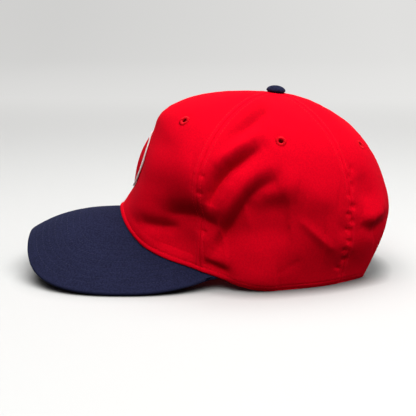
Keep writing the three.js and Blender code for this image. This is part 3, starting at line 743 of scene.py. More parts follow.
def material_named(name, finish):
    """One of the cap's materials, made when it is first asked for."""
    found = bpy.data.materials.get(name)
    if found:
        return found
    navy_thread = [NAVY_THREAD_SHADE * channel for channel in finish.navy]
    makers = {
        "red_twill": lambda: twill_material(name, finish.red, finish, RED_SHEEN, 0.11),
        "navy_twill": lambda: twill_material(name, finish.navy, finish, NAVY_SHEEN, 0.5),
        "red_thread": lambda: thread_material(name, finish.red, RED_SHEEN),
        "navy_thread": lambda: thread_material(name, navy_thread, NAVY_SHEEN),
        "white_thread": lambda: thread_material(name, finish.white, WHITE_SHEEN),
        "strap_plastic": lambda: plastic_material(name, finish.plastic),
    }
    return makers[name]()


# Meshes

def grid_faces(rows, columns, wrap_rows=False, wrap_columns=False):
    index = np.arange(rows * columns).reshape(rows, columns)
    if wrap_rows:
        index = np.concatenate([index, index[:1]])
    if wrap_columns:
        index = np.concatenate([index, index[:, :1]], axis=1)
    corners = (index[:-1, :-1], index[:-1, 1:], index[1:, 1:], index[1:, :-1])
    return np.stack(corners, axis=-1)


def wall_faces(rows, columns, hole=None):
    """Quads of a closed wall between two faces on one grid; the first face looks out."""
    quads = grid_faces(rows, columns)
    quads = quads[~hole] if hole is not None else quads.reshape(-1, 4)
    count = rows * columns
    starts = quads.ravel()
    ends = np.roll(quads, -1, axis=1).ravel()
    open_edge = ~np.isin(starts * count + ends, ends * count + starts)
    first, second = starts[open_edge], ends[open_edge]
    sides = np.stack([second, first, first + count, second + count], axis=-1)
    return np.concatenate([quads, quads[:, ::-1] + count, sides])


def tube_faces(corners, sides):
    """Faces of a closed ring of round cross-section."""
    return grid_faces(corners, sides, wrap_rows=True, wrap_columns=True).reshape(-1, 4)


def lathe_faces(rows, sides):
    """Faces of rings of points between a first and a last pole, as lists of corners."""
    rings = grid_faces(rows, sides, wrap_columns=True).reshape(-1, 4) + 1
    last = rows * sides + 1
    faces = rings.tolist()
    for k in range(sides):
        after = (k + 1) % sides
        faces.append([0, 1 + after, 1 + k])
        faces.append([last, last - sides + k, last - sides + after])
    return faces


def mesh_piece(name, points, faces, materials=(), edges=(), **attributes):
    """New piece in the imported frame; attributes are numbers or vectors for its points."""
    mesh = bpy.data.meshes.new(name)
    faces = faces.tolist() if isinstance(faces, np.ndarray) else faces
    mesh.from_pydata(to_frame(points).tolist(), edges, faces)
    mesh.polygons.foreach_set("use_smooth", [True] * len(mesh.polygons))
    for key, values in attributes.items():
        values = np.asarray(values, np.float32)
        kind, field = ("FLOAT_VECTOR", "vector") if values.ndim > 1 else ("FLOAT", "value")
        mesh.attributes.new(key, kind, "POINT").data.foreach_set(field, values.ravel())
    for material in materials:
        mesh.materials.append(material)
    piece = bpy.data.objects.new(name, mesh)
    bpy.context.scene.collection.objects.link(piece)
    return piece


def hand_over(piece, slot, *nodes):
    """Attaches a finished piece to its body and hides the solids that it stands for; the slot is not used.
    """
    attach(piece, BODY)
    if nodes:
        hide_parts(*nodes)


def stitched(name, guides, thread, sizes, body=None, **settings):
    """Piece with threads along guides of (points, lifts, closed), with a body of (points, faces, weave)."""
    solid, faces, weave = body or (np.zeros((0, 3)), [], np.zeros((0, 3)))
    points = [solid]
    lifts = [np.zeros_like(solid)]
    weaves = [weave]
    edges = []
    count = len(solid)
    for line, lift, closed in guides:
        order = np.arange(len(line)) + count
        edges += np.stack([order[:-1], order[1:]], axis=-1).tolist()
        if closed:
            edges.append([int(order[-1]), int(order[0])])
        points.append(line)
        lifts.append(lift)
        weaves.append(np.zeros_like(line))
        count += len(line)
    piece = mesh_piece(name, np.concatenate(points), faces, [thread], edges,
                       lift=np.concatenate(lifts), weave=np.concatenate(weaves))
    inputs = {
        "Pitch": sizes.stitch_pitch, "Along": sizes.stitch_length, "Across": sizes.stitch_width,
        "Height": sizes.stitch_height, "Slant": math.radians(STITCH_SLANT), "Thread": thread,
    }
    return run_tree(piece, shared_tree("Stitch run", stitch_tree), {**inputs, **settings})


# Shape of the crown

def bezier(a, b, c, d, t):
    return a * (1 - t) ** 3 + 3 * b * t * (1 - t) ** 2 + 3 * c * t ** 2 * (1 - t) + d * t ** 3


def bump_shape(distance, spread):
    return np.exp(-((distance / spread) ** 2))


def arch_drop(x):
    return ARCH_SLOPE * (np.hypot(x, ARCH_ROUND) - ARCH_ROUND)


ARCH_EDGE_SLOPE = ARCH_SLOPE * BRIM_HALF_WIDTH / math.hypot(BRIM_HALF_WIDTH, ARCH_ROUND)
BRIM_CREST_Z = BRIM_THICKNESS * math.cos(math.atan(ARCH_EDGE_SLOPE)) + arch_drop(BRIM_HALF_WIDTH)


def brim_top(x, y):
    """Height of the brim's upper face."""
    ahead = np.maximum(0, (ARCH_CREST_Y - y) / (ARCH_CREST_Y - BRIM_TIP_Y))
    behind = np.maximum(0, (y - ARCH_CREST_Y) / (BUTTON_Y - ARCH_CREST_Y))
    drop = ARCH_TIP_DROP * ahead ** ARCH_TIP_POWER + ARCH_REAR_DROP * behind ** 2
    return BRIM_CREST_Z - arch_drop(x) - drop


def rim_height(x, y):
    """The rim sits on the brim in front, and eases down to the floor at the sides and back."""
    arch = brim_top(np.where(y > BUTTON_Y, RIM_HALF_WIDTH, x), y) + GAP
    eased = (arch + RIM_REST_BLEND) ** 2 / (4 * RIM_REST_BLEND)
    return np.where(arch > RIM_REST_BLEND, arch, np.where(arch < -RIM_REST_BLEND, 0, eased))


def section_value(column, azimuth):
    """One column of the section table at an azimuth, by a cubic that is level at front and back."""
    places = SECTIONS[:, 0]
    values = SECTIONS[:, SECTION_COLUMNS.index(column)]
    slopes = np.zeros_like(values)
    slopes[1:-1] = (values[2:] - values[:-2]) / (places[2:] - places[:-2])
    a = np.minimum(np.abs(azimuth), 180)
    i = np.clip(np.searchsorted(places, a) - 1, 0, len(places) - 2)
    third = (places[i + 1] - places[i]) / 3
    return bezier(values[i], values[i] + slopes[i] * third, values[i + 1] - slopes[i + 1] * third,
                  values[i + 1], (a - places[i]) / (3 * third))


def about_button(azimuth, radius, z):
    angle = np.radians(azimuth)
    return np.stack([radius * np.sin(angle), BUTTON_Y - radius * np.cos(angle), z + 0 * radius], axis=-1)


def crown_base(azimuth, rise):
    """Outer face of the crown before folds: rise is 0 at the rim and 1 at the button's axis."""
    s = {column: section_value(column, azimuth) for column in SECTION_COLUMNS[1:]}
    rim = about_button(azimuth, s["rim_radius"], 0.0)
    rim_z = rim_height(rim[..., 0], rim[..., 1])
    rim_lean = np.radians(s["rim_lean"])
    turn_lean = np.radians(s["turn_lean"])
    t = np.clip(2 * rise, 0, 1)
    low_r = bezier(s["rim_radius"], s["rim_radius"] - s["rim_reach"] * np.sin(rim_lean),
                   s["turn_radius"] + s["below"] * np.sin(turn_lean), s["turn_radius"], t)
    low_z = bezier(rim_z, rim_z + s["rim_reach"] * np.cos(rim_lean),
                   s["turn_height"] - s["below"] * np.cos(turn_lean), s["turn_height"], t)
    t = np.clip(2 * rise - 1, 0, 1)
    roof_z = CROWN_TOP + s["roof"] * math.tan(math.radians(TOP_TILT)) * np.cos(np.radians(azimuth))
    high_r = bezier(s["turn_radius"], s["turn_radius"] - s["above"] * np.sin(turn_lean), s["roof"], 0, t)
    high_z = bezier(s["turn_height"], s["turn_height"] + s["above"] * np.cos(turn_lean), roof_z,
                    CROWN_TOP, t)
    is_low = rise <= 0.5
    return about_button(azimuth, np.where(is_low, low_r, high_r), np.where(is_low, low_z, high_z))


def unit(vectors):
    return vectors / np.linalg.norm(vectors, axis=-1, keepdims=True)


def axes(points):
    return points[..., 0], points[..., 1], points[..., 2]


def round_angles(count):
    return np.linspace(0, 2 * np.pi, count, endpoint=False)


def ring_points(radius, angle, height):
    """Points round the upright axis, in one list."""
    return np.stack([radius * np.cos(angle), radius * np.sin(angle), height], axis=-1).reshape(-1, 3)


def running_length(points, axis=0):
    """Length from the first point on, along a line or along the lines of a grid."""
    steps = np.linalg.norm(np.diff(points, axis=axis), axis=-1)
    return np.insert(np.cumsum(steps, axis=axis), 0, 0, axis=axis)


def rim_points(azimuth):
    return crown_base(azimuth, np.zeros_like(azimuth))


def crown_normal(azimuth, rise):
    high = np.minimum(1 - NORMAL_CLIMB, rise + NORMAL_CLIMB)
    low = np.maximum(0, rise - NORMAL_CLIMB)
    level = np.minimum(rise, high)
    around = crown_base(azimuth + NORMAL_TURN, level) - crown_base(azimuth - NORMAL_TURN, level)
    up = crown_base(azimuth, high) - crown_base(azimuth, low)
    return unit(np.cross(around, up))


def path_distance(y, z, path):
    """Distance from a path in the side view, and the share of its length at the nearest place."""
    nearest = np.full_like(y, np.inf)
    place = np.zeros_like(y)
    done = 0
    for (from_y, from_z), (to_y, to_z) in zip(path, path[1:]):
        run_y, run_z = to_y - from_y, to_z - from_z
        length = math.hypot(run_y, run_z)
        t = np.clip(((y - from_y) * run_y + (z - from_z) * run_z) / length ** 2, 0, 1)
        away = np.hypot(y - from_y - t * run_y, z - from_z - t * run_z)
        place = np.where(away < nearest, done + t * length, place)
        nearest = np.minimum(nearest, away)
        done += length
    return nearest, place / done


def crease_shape(distance, spread):
    return np.exp((CREASE_ROUND - np.hypot(distance, CREASE_ROUND)) / spread)


def table_push(points, table, profile):
    """How far the rows of a table push the cloth out at points of the crown, across a profile."""
    x, y, z = axes(points)
    push = np.zeros_like(x)
    for side, path, height, spread in table:
        away, share = path_distance(y, z, path)
        taper = FOLD_END + (1 - FOLD_END) * np.sqrt(np.abs(np.sin(np.pi * share)))
        push += np.where(x * side >= 0, height * taper * profile(away, spread), 0)
    return push


def fold_push(points):
    """How far folds and creases push the cloth out, less by the brim's seam and the middle line."""
    x, y, z = axes(points)
    push = table_push(points, FOLDS, bump_shape) + table_push(points, CREASES, crease_shape)
    held = 1 - np.clip((z - rim_height(x, y)) / RIM_HOLD, 0, 1)
    by_brim = np.clip((RIM_FREE_Y - y) / RIM_FREE_RUN, 0, 1)
    return push * np.minimum(1, np.abs(x) / FOLD_FADE) * (1 - held * by_brim)


def lifted(azimuth, rise, lift):
    """Points of the folded crown, moved out by a lift or in where it is negative, and its normals."""
    base = crown_base(azimuth, rise)
    normal = crown_normal(azimuth, rise)
    return base + normal * (fold_push(base) + lift)[..., None], normal


def pinch_table():
    """The pinches of the seams as folds, on both sides of the cap."""
    table = ()
    for _, sign in SIDES:
        for y, z in PINCHES:
            start = (y - PINCH_HALF_WIDTH, z + PINCH_SLANT)
            end = (y + PINCH_HALF_WIDTH, z - PINCH_SLANT)
            table += ((sign, (start, end), PINCH_PUSH, PINCH_SPREAD),)
    return table


def rise_where(azimuth, low, high, is_below):
    """Rise at which a test on the outer face stops holding, by halving."""
    low = np.full_like(azimuth, low)
    high = np.full_like(azimuth, high)
    for _ in range(HALVINGS):
        middle = (low + high) / 2
        below = is_below(crown_base(azimuth, middle))
        low = np.where(below, middle, low)
        high = np.where(below, high, middle)
    return (low + high) / 2


def rise_at_height(azimuth, z):
    return rise_where(azimuth, *HEIGHT_SEARCH, lambda p: p[..., 2] < z)


def axis_radius(points):
    return np.hypot(points[..., 0], points[..., 1] - BUTTON_Y)


def rise_at_hole(azimuth):
    return rise_where(azimuth, *HOLE_SEARCH, lambda p: axis_radius(p) > TOP_HOLE_RADIUS)


def rise_above_rim(azimuth, distance):
    rim = rim_points(azimuth)
    return rise_where(azimuth, *RIM_SEARCH, lambda p: np.linalg.norm(p - rim, axis=-1) < distance)


def meridian_length(rise, azimuth):
    """Length of cloth from the rim up to a rise, along one azimuth."""
    steps = np.linspace(0, 1, MERIDIAN_STEPS)
    line = crown_base(np.full_like(steps, azimuth), steps)
    return np.interp(rise, steps, running_length(line))


def opening_place(angle, grow=0.0):
    """Azimuth and rise on the half-moon's edge: angle 0 at its corner, a quarter turn at its top."""
    x = (OPENING_HALF_WIDTH + grow) * np.cos(angle)
    z = (OPENING_HEIGHT + grow) * np.sin(angle)
    azimuth = np.full_like(x, OPENING_START)
    for _ in range(OPENING_ROUNDS):
        rise = rise_at_height(azimuth, z)
        radius = axis_radius(crown_base(azimuth, rise))
        azimuth = 180 - np.degrees(np.arcsin(np.clip(x / radius, 0, 1)))
    return azimuth, rise


def opening_distance(points):
    """Distance from the half-moon's edge, about right close to it."""
    across = points[..., 0] / OPENING_HALF_WIDTH
    up = np.maximum(points[..., 2], 0) / OPENING_HEIGHT
    level = np.hypot(across, up) + TINY
    slope = np.hypot(across / OPENING_HALF_WIDTH, up / OPENING_HEIGHT) / level
    return (level - 1) / slope


def eyelet_place(panel, sign):
    """Middle of an eyelet in the cloth, and its axis."""
    azimuth = np.array([sign * panel.eyelet_azimuth], float)
    middle, axis = lifted(azimuth, rise_at_height(azimuth, panel.eyelet_height), -CLOTH / 2)
    return middle[0], axis[0]


def axis_distance(points, place):
    centre, axis = place
    away = points - centre
    return np.linalg.norm(away - (away @ axis)[..., None] * axis, axis=-1)


def round_share(distance, radius):
    """0 at an edge to 1 a radius inside it, along a quarter circle."""
    return np.sqrt(1 - np.clip(1 - distance / radius, 0, 1) ** 2)


def pucker_wave(along, length, start):
    wander = PUCKER_WANDER * np.sin(2 * np.pi * along / (PUCKER_WANDER_LENGTH * length) + start)
    return np.sin(2 * np.pi * along / length + wander)


def ripple_wave(points):
    wave = np.zeros(points.shape[:-1])
    for share, *crossed in RIPPLES:
        first, second = (np.sin(points @ np.array(run) + start) for run, start in crossed)
        wave += share * first * second
    return wave


def crown_cloth(azimuth, rise, sewing):
    """Outer and inner face of the sewn cloth, its normals, its wear with painted highlight, and the painted
    shade under its folds.
    """
    base = crown_base(azimuth, rise)
    normal = crown_normal(azimuth, rise)
    radius = axis_radius(base)
    folds = fold_push(base)
    # Painted shade: where the folds lean the cloth under, read from their slope, the material darkens its
    # colour
    reach = np.array([0, 0, PAINTED_SHADE_REACH])
    slope = (fold_push(base + reach) - fold_push(base - reach)) / (2 * PAINTED_SHADE_REACH)
    under = 1 - np.exp(-np.maximum(slope, 0) / PAINTED_SHADE_SLOPE)
    outer = table_push(base, pinch_table(), bump_shape) + sewing.ripple / MM * ripple_wave(base)
    inner = -CLOTH + 0 * radius

    hem_distance = np.linalg.norm(base - rim_points(azimuth), axis=-1)
    at_back = np.abs(azimuth) > BACK_SEAM
    opening = np.where(at_back, opening_distance(base), hem_distance)
    hem_distance = np.maximum(0, np.minimum(hem_distance, opening))
    width = sewing.hem_width / MM
    by_brim = np.clip((HEM_ROLL_END - np.abs(azimuth)) / HEM_ROLL_FADE, 0, 1)
    roll = sewing.hem_roll / MM * (HEM_ROLL_REST + (1 - HEM_ROLL_REST) * by_brim)
    outer += roll * np.sqrt(np.clip(1 - (2 * hem_distance / width - 1) ** 2, 0, 1))
    outer -= HEM_GROOVE * sewing.groove / MM * bump_shape(hem_distance - sewing.hem_row / MM, GROOVE_SPREAD)
    outer -= TUCK_DEPTH * (1 - by_brim) * np.clip(1 - hem_distance / TUCK_HEIGHT, 0, 1) ** 2
    edge = (1 - round_share(hem_distance, EDGE_ROUND)) * (CLOTH / 2 - EDGE_FLAT)
    outer -= edge
    inner += edge
    # Paler along the hem roll by the brim: partly wear, partly a painted highlight on the roll
    rub = by_brim * bump_shape(hem_distance - HEM_WEAR_AND_HIGHLIGHT_MIDDLE * width, HEM_WEAR_AND_HIGHLIGHT_SPREAD * width)

    fade = np.clip((radius - SEAM_FADE_START) / SEAM_FADE_RUN, 0, 1)
    for seam, pucker, pucker_length in SEAMS:
        distance = np.abs(radius * np.sin(np.radians(np.abs(azimuth) - seam)))
        distance = np.where(np.abs(np.abs(azimuth) - seam) > SEAM_REACH, np.inf, distance)
        along = meridian_length(rise, seam)
        shape = -(1 - round_share(distance, SEAM_ROUND)) * sewing.seam_depth / MM
        shape += sewing.welt / MM * bump_shape(distance - WELT_MIDDLE, WELT_SPREAD)
        shape -= sewing.groove / MM * bump_shape(distance - sewing.seam_row / MM, GROOVE_SPREAD)
        shape += pucker * bump_shape(distance, PUCKER_REACH) * pucker_wave(along, pucker_length, seam)
        outer += shape * fade
        # Paler on the welt beside the seam: partly wear, partly a painted highlight
        rub = np.maximum(rub, SEAM_WEAR_AND_HIGHLIGHT * fade * bump_shape(distance - WELT_MIDDLE, WELT_SPREAD))

    for _, sign in SIDES:
        for panel in PANELS:
            away = axis_distance(base, eyelet_place(panel, sign))
            outer -= EYELET_SINK * bump_shape(away - EYELET_RADIUS, EYELET_SINK_SPREAD)

    faces = []
    outer = np.maximum(outer, inner + WALL_LEAST)
    for offset in (outer, inner):
        points = base + normal * (folds + offset)[..., None]
        floor = rim_height(points[..., 0], points[..., 1])
        low = np.maximum(points[..., 2], np.where(rise < RIM_RISE, floor, 0))
        faces.append(np.concatenate([points[..., :2], low[..., None]], axis=-1))
    return faces[0], faces[1], normal, rub, under


# Grids of the panels

def close_at_both_ends(count):
    w = np.linspace(0, 1, count + 1)
    return w - GRID_CLUSTER * np.sin(2 * np.pi * w) / (2 * np.pi)


def close_at_start(count):
    w = np.linspace(0, 1, count + 1)
    return w - GRID_CLUSTER * np.sin(np.pi * w) / np.pi


def patch_between(left, right, bottom, top, u, v):
    """Grid of places between four edges that meet at their corners."""
    u = u[None, :, None]
    v = v[:, None, None]
    across = (1 - u) * left[:, None] + u * right[:, None]
    up = (1 - v) * bottom[None] + v * top[None]
    corners = (1 - v) * ((1 - u) * bottom[0] + u * bottom[-1]) + v * ((1 - u) * top[0] + u * top[-1])
    return across + up - corners


def panel_grid(panel):
    """Azimuths and rises of a left panel's grid, columns in the order of the azimuth."""
    start, end = panel.start, panel.end
    u = close_at_both_ends(panel.columns)
    azimuth = start + (end - start) * u
    if panel.name != "back":
        v = close_at_start(panel.rows)
        return azimuth[None] + 0 * v[:, None], v[:, None] * rise_at_hole(azimuth)[None]
    v = close_at_both_ends(panel.rows)
    opening = np.stack(opening_place(v * np.pi / 2), axis=-1)
    climb = np.minimum(1, v / BACK_SEAM_SHARE)
    turn = np.maximum(0, (v - BACK_SEAM_SHARE) / (1 - BACK_SEAM_SHARE))
    seam_azimuth = start + (end - start) * turn
    seam = np.stack([seam_azimuth, climb * rise_at_hole(seam_azimuth)], axis=-1)
    rim_azimuth = start + (opening[0, 0] - start) * u
    bottom = np.stack([rim_azimuth, 0 * u], axis=-1)
    hole = rise_at_hole(np.array([180.0]))[0]
    top = np.stack([180 + 0 * u, hole + (opening[-1, 1] - hole) * u], axis=-1)
    opening[0, 1] = 0
    grid = patch_between(seam, opening, bottom, top, u, v)
    return np.clip(grid[..., 0], start, end), np.clip(grid[..., 1], 0, 1)


def panel_piece(panel, side_name, sign, sewing, material):
    """Cloth of one panel, cut open at its eyelet."""
    azimuth, rise = panel_grid(panel)
    if sign < 0:
        azimuth, rise = -azimuth[:, ::-1], rise[:, ::-1]
    outer, inner, _, rub, under = crown_cloth(azimuth, rise, sewing)
    at_start = np.isclose(np.abs(azimuth), panel.start)
    away = at_start.astype(float) - np.isclose(np.abs(azimuth), panel.end)
    angle = np.radians(azimuth)
    shift = (sign * SEAM_CLEAR * away)[..., None] * np.stack([np.cos(angle), np.sin(angle), 0 * angle], -1)
    distance = axis_distance(crown_base(azimuth, rise), eyelet_place(panel, sign))
    near = (distance[:-1, :-1] + distance[1:, 1:] + distance[:-1, 1:] + distance[1:, :-1]) / 4
    hole = near < EYELET_CUT
    middle = sign * (panel.start + panel.end) / 2
    across = axis_radius(outer) * np.radians(azimuth - middle)
    weave = np.stack([across, meridian_length(rise, abs(middle)), 0 * across], axis=-1).reshape(-1, 3) * MM
    points = np.concatenate([(outer + shift).reshape(-1, 3), (inner + shift).reshape(-1, 3)])
    # The outer face carries the wear with painted highlight and the painted fold shade; the inner face gets
    # none
    rub, under = (np.concatenate([values.ravel(), 0 * values.ravel()]) for values in (rub, under))
    faces = wall_faces(*azimuth.shape, hole)
    used = np.zeros(len(points), bool)
    used[faces.ravel()] = True
    order = np.cumsum(used) - 1
    weave = np.concatenate([weave, weave])
    return mesh_piece(f"{panel.name}_panel_{side_name}_cloth", points[used], order[faces], [material],
                      weave=weave[used], rub=rub[used], under=under[used])


def runs_of(points, lifts, keep):
    """Splits a line into the runs of points to keep, as open guides."""
    guides = []
    ends = np.flatnonzero(np.diff(np.concatenate([[0], keep.astype(int), [0]])))
    for first, last in ends.reshape(-1, 2):
        if last - first >= SHORTEST_RUN:
            guides.append((points[first:last], lifts[first:last], False))
    return guides


def seam_guides(sewing):
    """Lines of the topstitches on both sides of every seam."""
    guides = []
    rises = np.linspace(0, SEAM_ROW_TOP, SEAM_ROW_POINTS)
    row = sewing.seam_row / MM
    hem = sewing.hem_row / MM + ROW_CLEAR
    for _, sign in SIDES:
        for seam, _, _ in SEAMS:
            for way in (1, -1):
                if seam + way < 0 or seam + way > 180:
                    continue
                radius = axis_radius(crown_base(np.full_like(rises, seam), rises))
                azimuth = sign * (seam + way * np.degrees(row / np.maximum(radius, row)))
                outer, _, normal, _, _ = crown_cloth(azimuth, rises, sewing)
                base = crown_base(azimuth, rises)
                keep = radius > BUTTON_RADIUS + ROW_BUTTON_CLEAR
                keep &= np.linalg.norm(base - rim_points(azimuth), axis=-1) > hem
                if seam == 180:
                    keep &= opening_distance(base) > hem
                if seam == 0:
                    away = (base[:, 2] - PATCH_Z) / (PATCH_HALF_HEIGHT + PATCH_EDGE_WIDTH + ROW_CLEAR)
                    keep &= np.abs(away) > 1
                guides += runs_of(outer, normal, keep)
    return guides


def hem_guides(sewing):
    """Lines of the hem's stitches, from the front round to the top of the half-moon."""
    row = sewing.hem_row / MM
    guides = []
    angles = np.linspace(math.asin(row / (OPENING_HEIGHT + row)), np.pi / 2, HEM_ARC_POINTS)
    arc_azimuth, arc_rise = opening_place(angles, row)
    rim_azimuth = np.linspace(HEM_ROW_START, arc_azimuth[0], HEM_ROW_POINTS)[:-1]
    azimuth = np.concatenate([rim_azimuth, arc_azimuth])
    rise = np.concatenate([rise_above_rim(rim_azimuth, row), arc_rise])
    for _, sign in SIDES:
        outer, _, normal, _, _ = crown_cloth(sign * azimuth, rise, sewing)
        guides.append((outer, normal, False))
    return guides


# Brim

def brim_outer(share):
    """Outer edge in plan: share is 0 at the tip and 1 or -1 at the ends by the crown."""
    along = np.abs(share)
    angle = np.minimum(along / BRIM_FRONT_SHARE, 1) * np.pi / 2
    power = 2 / BRIM_ROUNDNESS
    front_x = BRIM_HALF_WIDTH * np.maximum(0, np.sin(angle)) ** power
    front_y = BRIM_WIDE_Y + (BRIM_TIP_Y - BRIM_WIDE_Y) * np.maximum(0, np.cos(angle)) ** power
    t = np.maximum(0, (along - BRIM_FRONT_SHARE) / (1 - BRIM_FRONT_SHARE))
    end_x = BRIM_HALF_WIDTH + (BRIM_END_X - BRIM_HALF_WIDTH) * t ** BRIM_END_POWER
    end_y = BRIM_WIDE_Y + (BRIM_END_Y - BRIM_WIDE_Y) * t
    is_front = along <= BRIM_FRONT_SHARE
    return np.stack([np.sign(share) * np.where(is_front, front_x, end_x),
                     np.where(is_front, front_y, end_y)], axis=-1)


def brim_inner(share):
    azimuth = BRIM_END_AZIMUTH * share
    return about_button(azimuth, section_value("rim_radius", azimuth) - CLOTH, 0.0)[..., :2]


def line_distance(points, line):
    """Distance of plan points from an open line."""
    nearest = np.full(len(points), np.inf)
    for start, end in zip(line[:-1], line[1:]):
        run = end - start
        t = np.clip((points - start) @ run / (run @ run), 0, 1)
        nearest = np.minimum(nearest, np.linalg.norm(points - start - t[:, None] * run, axis=-1))
    return nearest


def even_steps(line, count):
    """Points at even steps along a line."""
    lengths = running_length(line)
    places = np.linspace(0, lengths[-1], count)
    return np.stack([np.interp(places, lengths, values) for values in line.T], axis=-1)


def brim_rows(brim):
    """Distances of the rows of stitches from the brim's outer edge."""
    return (brim.first_row + brim.row_spacing * np.arange(brim.rows)) / MM


def brim_sheet(brim):
    """Flat plan of the brim with the distance from its edge and the pull of its stitched rows."""
    columns, rows = BRIM_GRID
    share = np.linspace(-1, 1, columns + 1)
    v = close_at_both_ends(rows)[:, None, None]
    plan = (1 - v) * brim_outer(share)[None] + v * brim_inner(share)[None]
    outline = np.concatenate([plan[0], plan[1:, -1], plan[-1, ::-1][1:], plan[::-1, 0][1:]])
    flat = plan.reshape(-1, 2)
    edge = line_distance(flat, outline).reshape(plan.shape[:2])
    for border in (edge[0], edge[-1], edge[:, 0], edge[:, -1]):
        border[:] = 0
    outer = line_distance(flat, plan[0]).reshape(plan.shape[:2])
    pull = np.zeros_like(outer)
    for row in brim_rows(brim):
        pull -= brim.groove / MM * bump_shape(outer - row, BRIM_GROOVE_SPREAD)
    points = np.concatenate([flat, np.zeros((len(flat), 1))], axis=-1)
    return points, grid_faces(*plan.shape[:2]).reshape(-1, 4), edge.ravel() * MM, pull.ravel() * MM


def brim_normal(x, y):
    step = 0.5
    slope_x = (brim_top(x + step, y) - brim_top(x - step, y)) / (2 * step)
    slope_y = (brim_top(x, y + step) - brim_top(x, y - step)) / (2 * step)
    return unit(np.stack([-slope_x, -slope_y, 1 + 0 * x], axis=-1))


def brim_guides(brim):
    """Lines of the brim's stitched rows on its upper face and its underside."""
    outline = even_steps(brim_outer(np.linspace(-1, 1, BRIM_LINE_POINTS)), BRIM_ROW_POINTS)
    run = unit(np.gradient(outline, axis=0))
    inward = np.stack([-run[:, 1], run[:, 0]], axis=-1)
    guides = []
    for reach in brim_rows(brim):
        plan = outline + inward * reach
        x, y = plan[:, 0], plan[:, 1]
        azimuth = np.degrees(np.arctan2(x, BUTTON_Y - y))
        clear = np.hypot(x, y - BUTTON_Y) - section_value("rim_radius", azimuth)
        keep = (clear > BRIM_ROW_CLEAR) & (line_distance(plan, outline) > reach - BRIM_ROW_SLACK)
        top = np.stack([x, y, brim_top(x, y)], axis=-1)
        normal = brim_normal(x, y)
        sink = brim.groove / MM
        guides += runs_of(top - normal * sink, normal, keep)
        guides += runs_of(top - normal * (BRIM_THICKNESS - sink), -normal, keep)
    return guides


# Patch and small pieces

def front_point(x, z, lift):
    """Crown point behind a place of the front view, lifted off the cloth, and its normal."""
    azimuth = np.zeros_like(x)
    for _ in range(FRONT_ROUNDS):
        base = crown_base(azimuth, rise_at_height(azimuth, z))
        azimuth = np.degrees(np.arctan2(x, BUTTON_Y - base[..., 1]))
    return lifted(azimuth, rise_at_height(azimuth, z), lift)


def flat_point(x, z, lift):
    """Place on a stiff plate that is straight across the front, lifted off its middle line."""
    middle = np.zeros_like(x)
    rise = rise_at_height(middle, z)
    normal = crown_normal(middle, rise)
    across = np.stack([x, 0 * x, 0 * x], axis=-1)
    return crown_base(middle, rise) + across + normal * lift[..., None], normal


def oval_point(place, angle, share, spread, lift):
    """Point of an oval on the front: place is front_point on the cloth or flat_point on the plate."""
    x = -(PATCH_HALF_WIDTH * share + spread) * np.sin(angle)
    z = PATCH_Z + (PATCH_HALF_HEIGHT * share + spread) * np.cos(angle)
    return place(x, z, lift + 0 * x)


def wrap_azimuth(azimuth):
    return np.where(azimuth > 180, azimuth - 360, azimuth)


def band_wall(azimuth, heights, depth, thickness):
    """Points, faces and weave of a band inside the crown, with rounded long edges."""
    rises = np.stack([rise_at_height(azimuth, height) for height in heights])
    grid = azimuth[None] + 0 * rises
    base = crown_base(grid, rises)
    up = running_length(base)
    edge = np.minimum(up, up[-1:] - up)
    inset = (1 - round_share(edge, thickness / 2)) * (thickness / 2 - EDGE_FLAT)
    faces = []
    for offset in (-depth - inset, -depth - thickness + inset):
        points, _ = lifted(grid, rises, offset)
        points[..., 2] = np.maximum(points[..., 2], 0)
        faces.append(points.reshape(-1, 3))
    weave = np.stack([running_length(base, axis=1), up, 0 * up], axis=-1).reshape(-1, 3) * MM
    return np.concatenate(faces), wall_faces(*rises.shape), np.concatenate([weave, weave])


def tilted(points):
    """Button's own frame to the cap's: leaned back with the crown's top."""
    lean = math.radians(-TOP_TILT)
    x, y, z = axes(points)
    return np.stack([x, BUTTON_Y + y * math.cos(lean) - z * math.sin(lean),
                     CROWN_TOP + y * math.sin(lean) + z * math.cos(lean)], axis=-1)


# Operators

class CAP_OT_crown_panels(bpy.types.Operator):
    """Make the six cloth panels with their folds, hems and seams"""
    bl_idname = "cap.crown_panels"
    bl_label = "Crown panels"

    def execute(self, context):
        red = material_named("red_twill", context.scene.cap_finish)
        for side_name, sign in SIDES:
            for panel in PANELS:
                piece = panel_piece(panel, side_name, sign, context.scene.cap_sewing, red)
                hand_over(piece, "red_cloth", f"{panel.name}_panel_{side_name}")
        return {"FINISHED"}


class CAP_OT_crown_stitches(bpy.types.Operator):
    """Sew the topstitches of the seams and the row along the hem"""
    bl_idname = "cap.crown_stitches"
    bl_label = "Crown stitches"

    def execute(self, context):
        sewing = context.scene.cap_sewing
        thread = material_named("red_thread", context.scene.cap_finish)
        hand_over(stitched("seam_stitches", seam_guides(sewing), thread, sewing, Seed=3), "red_cloth")
        hand_over(stitched("hem_stitches", hem_guides(sewing), thread, sewing, Seed=5), "red_cloth")
        return {"FINISHED"}


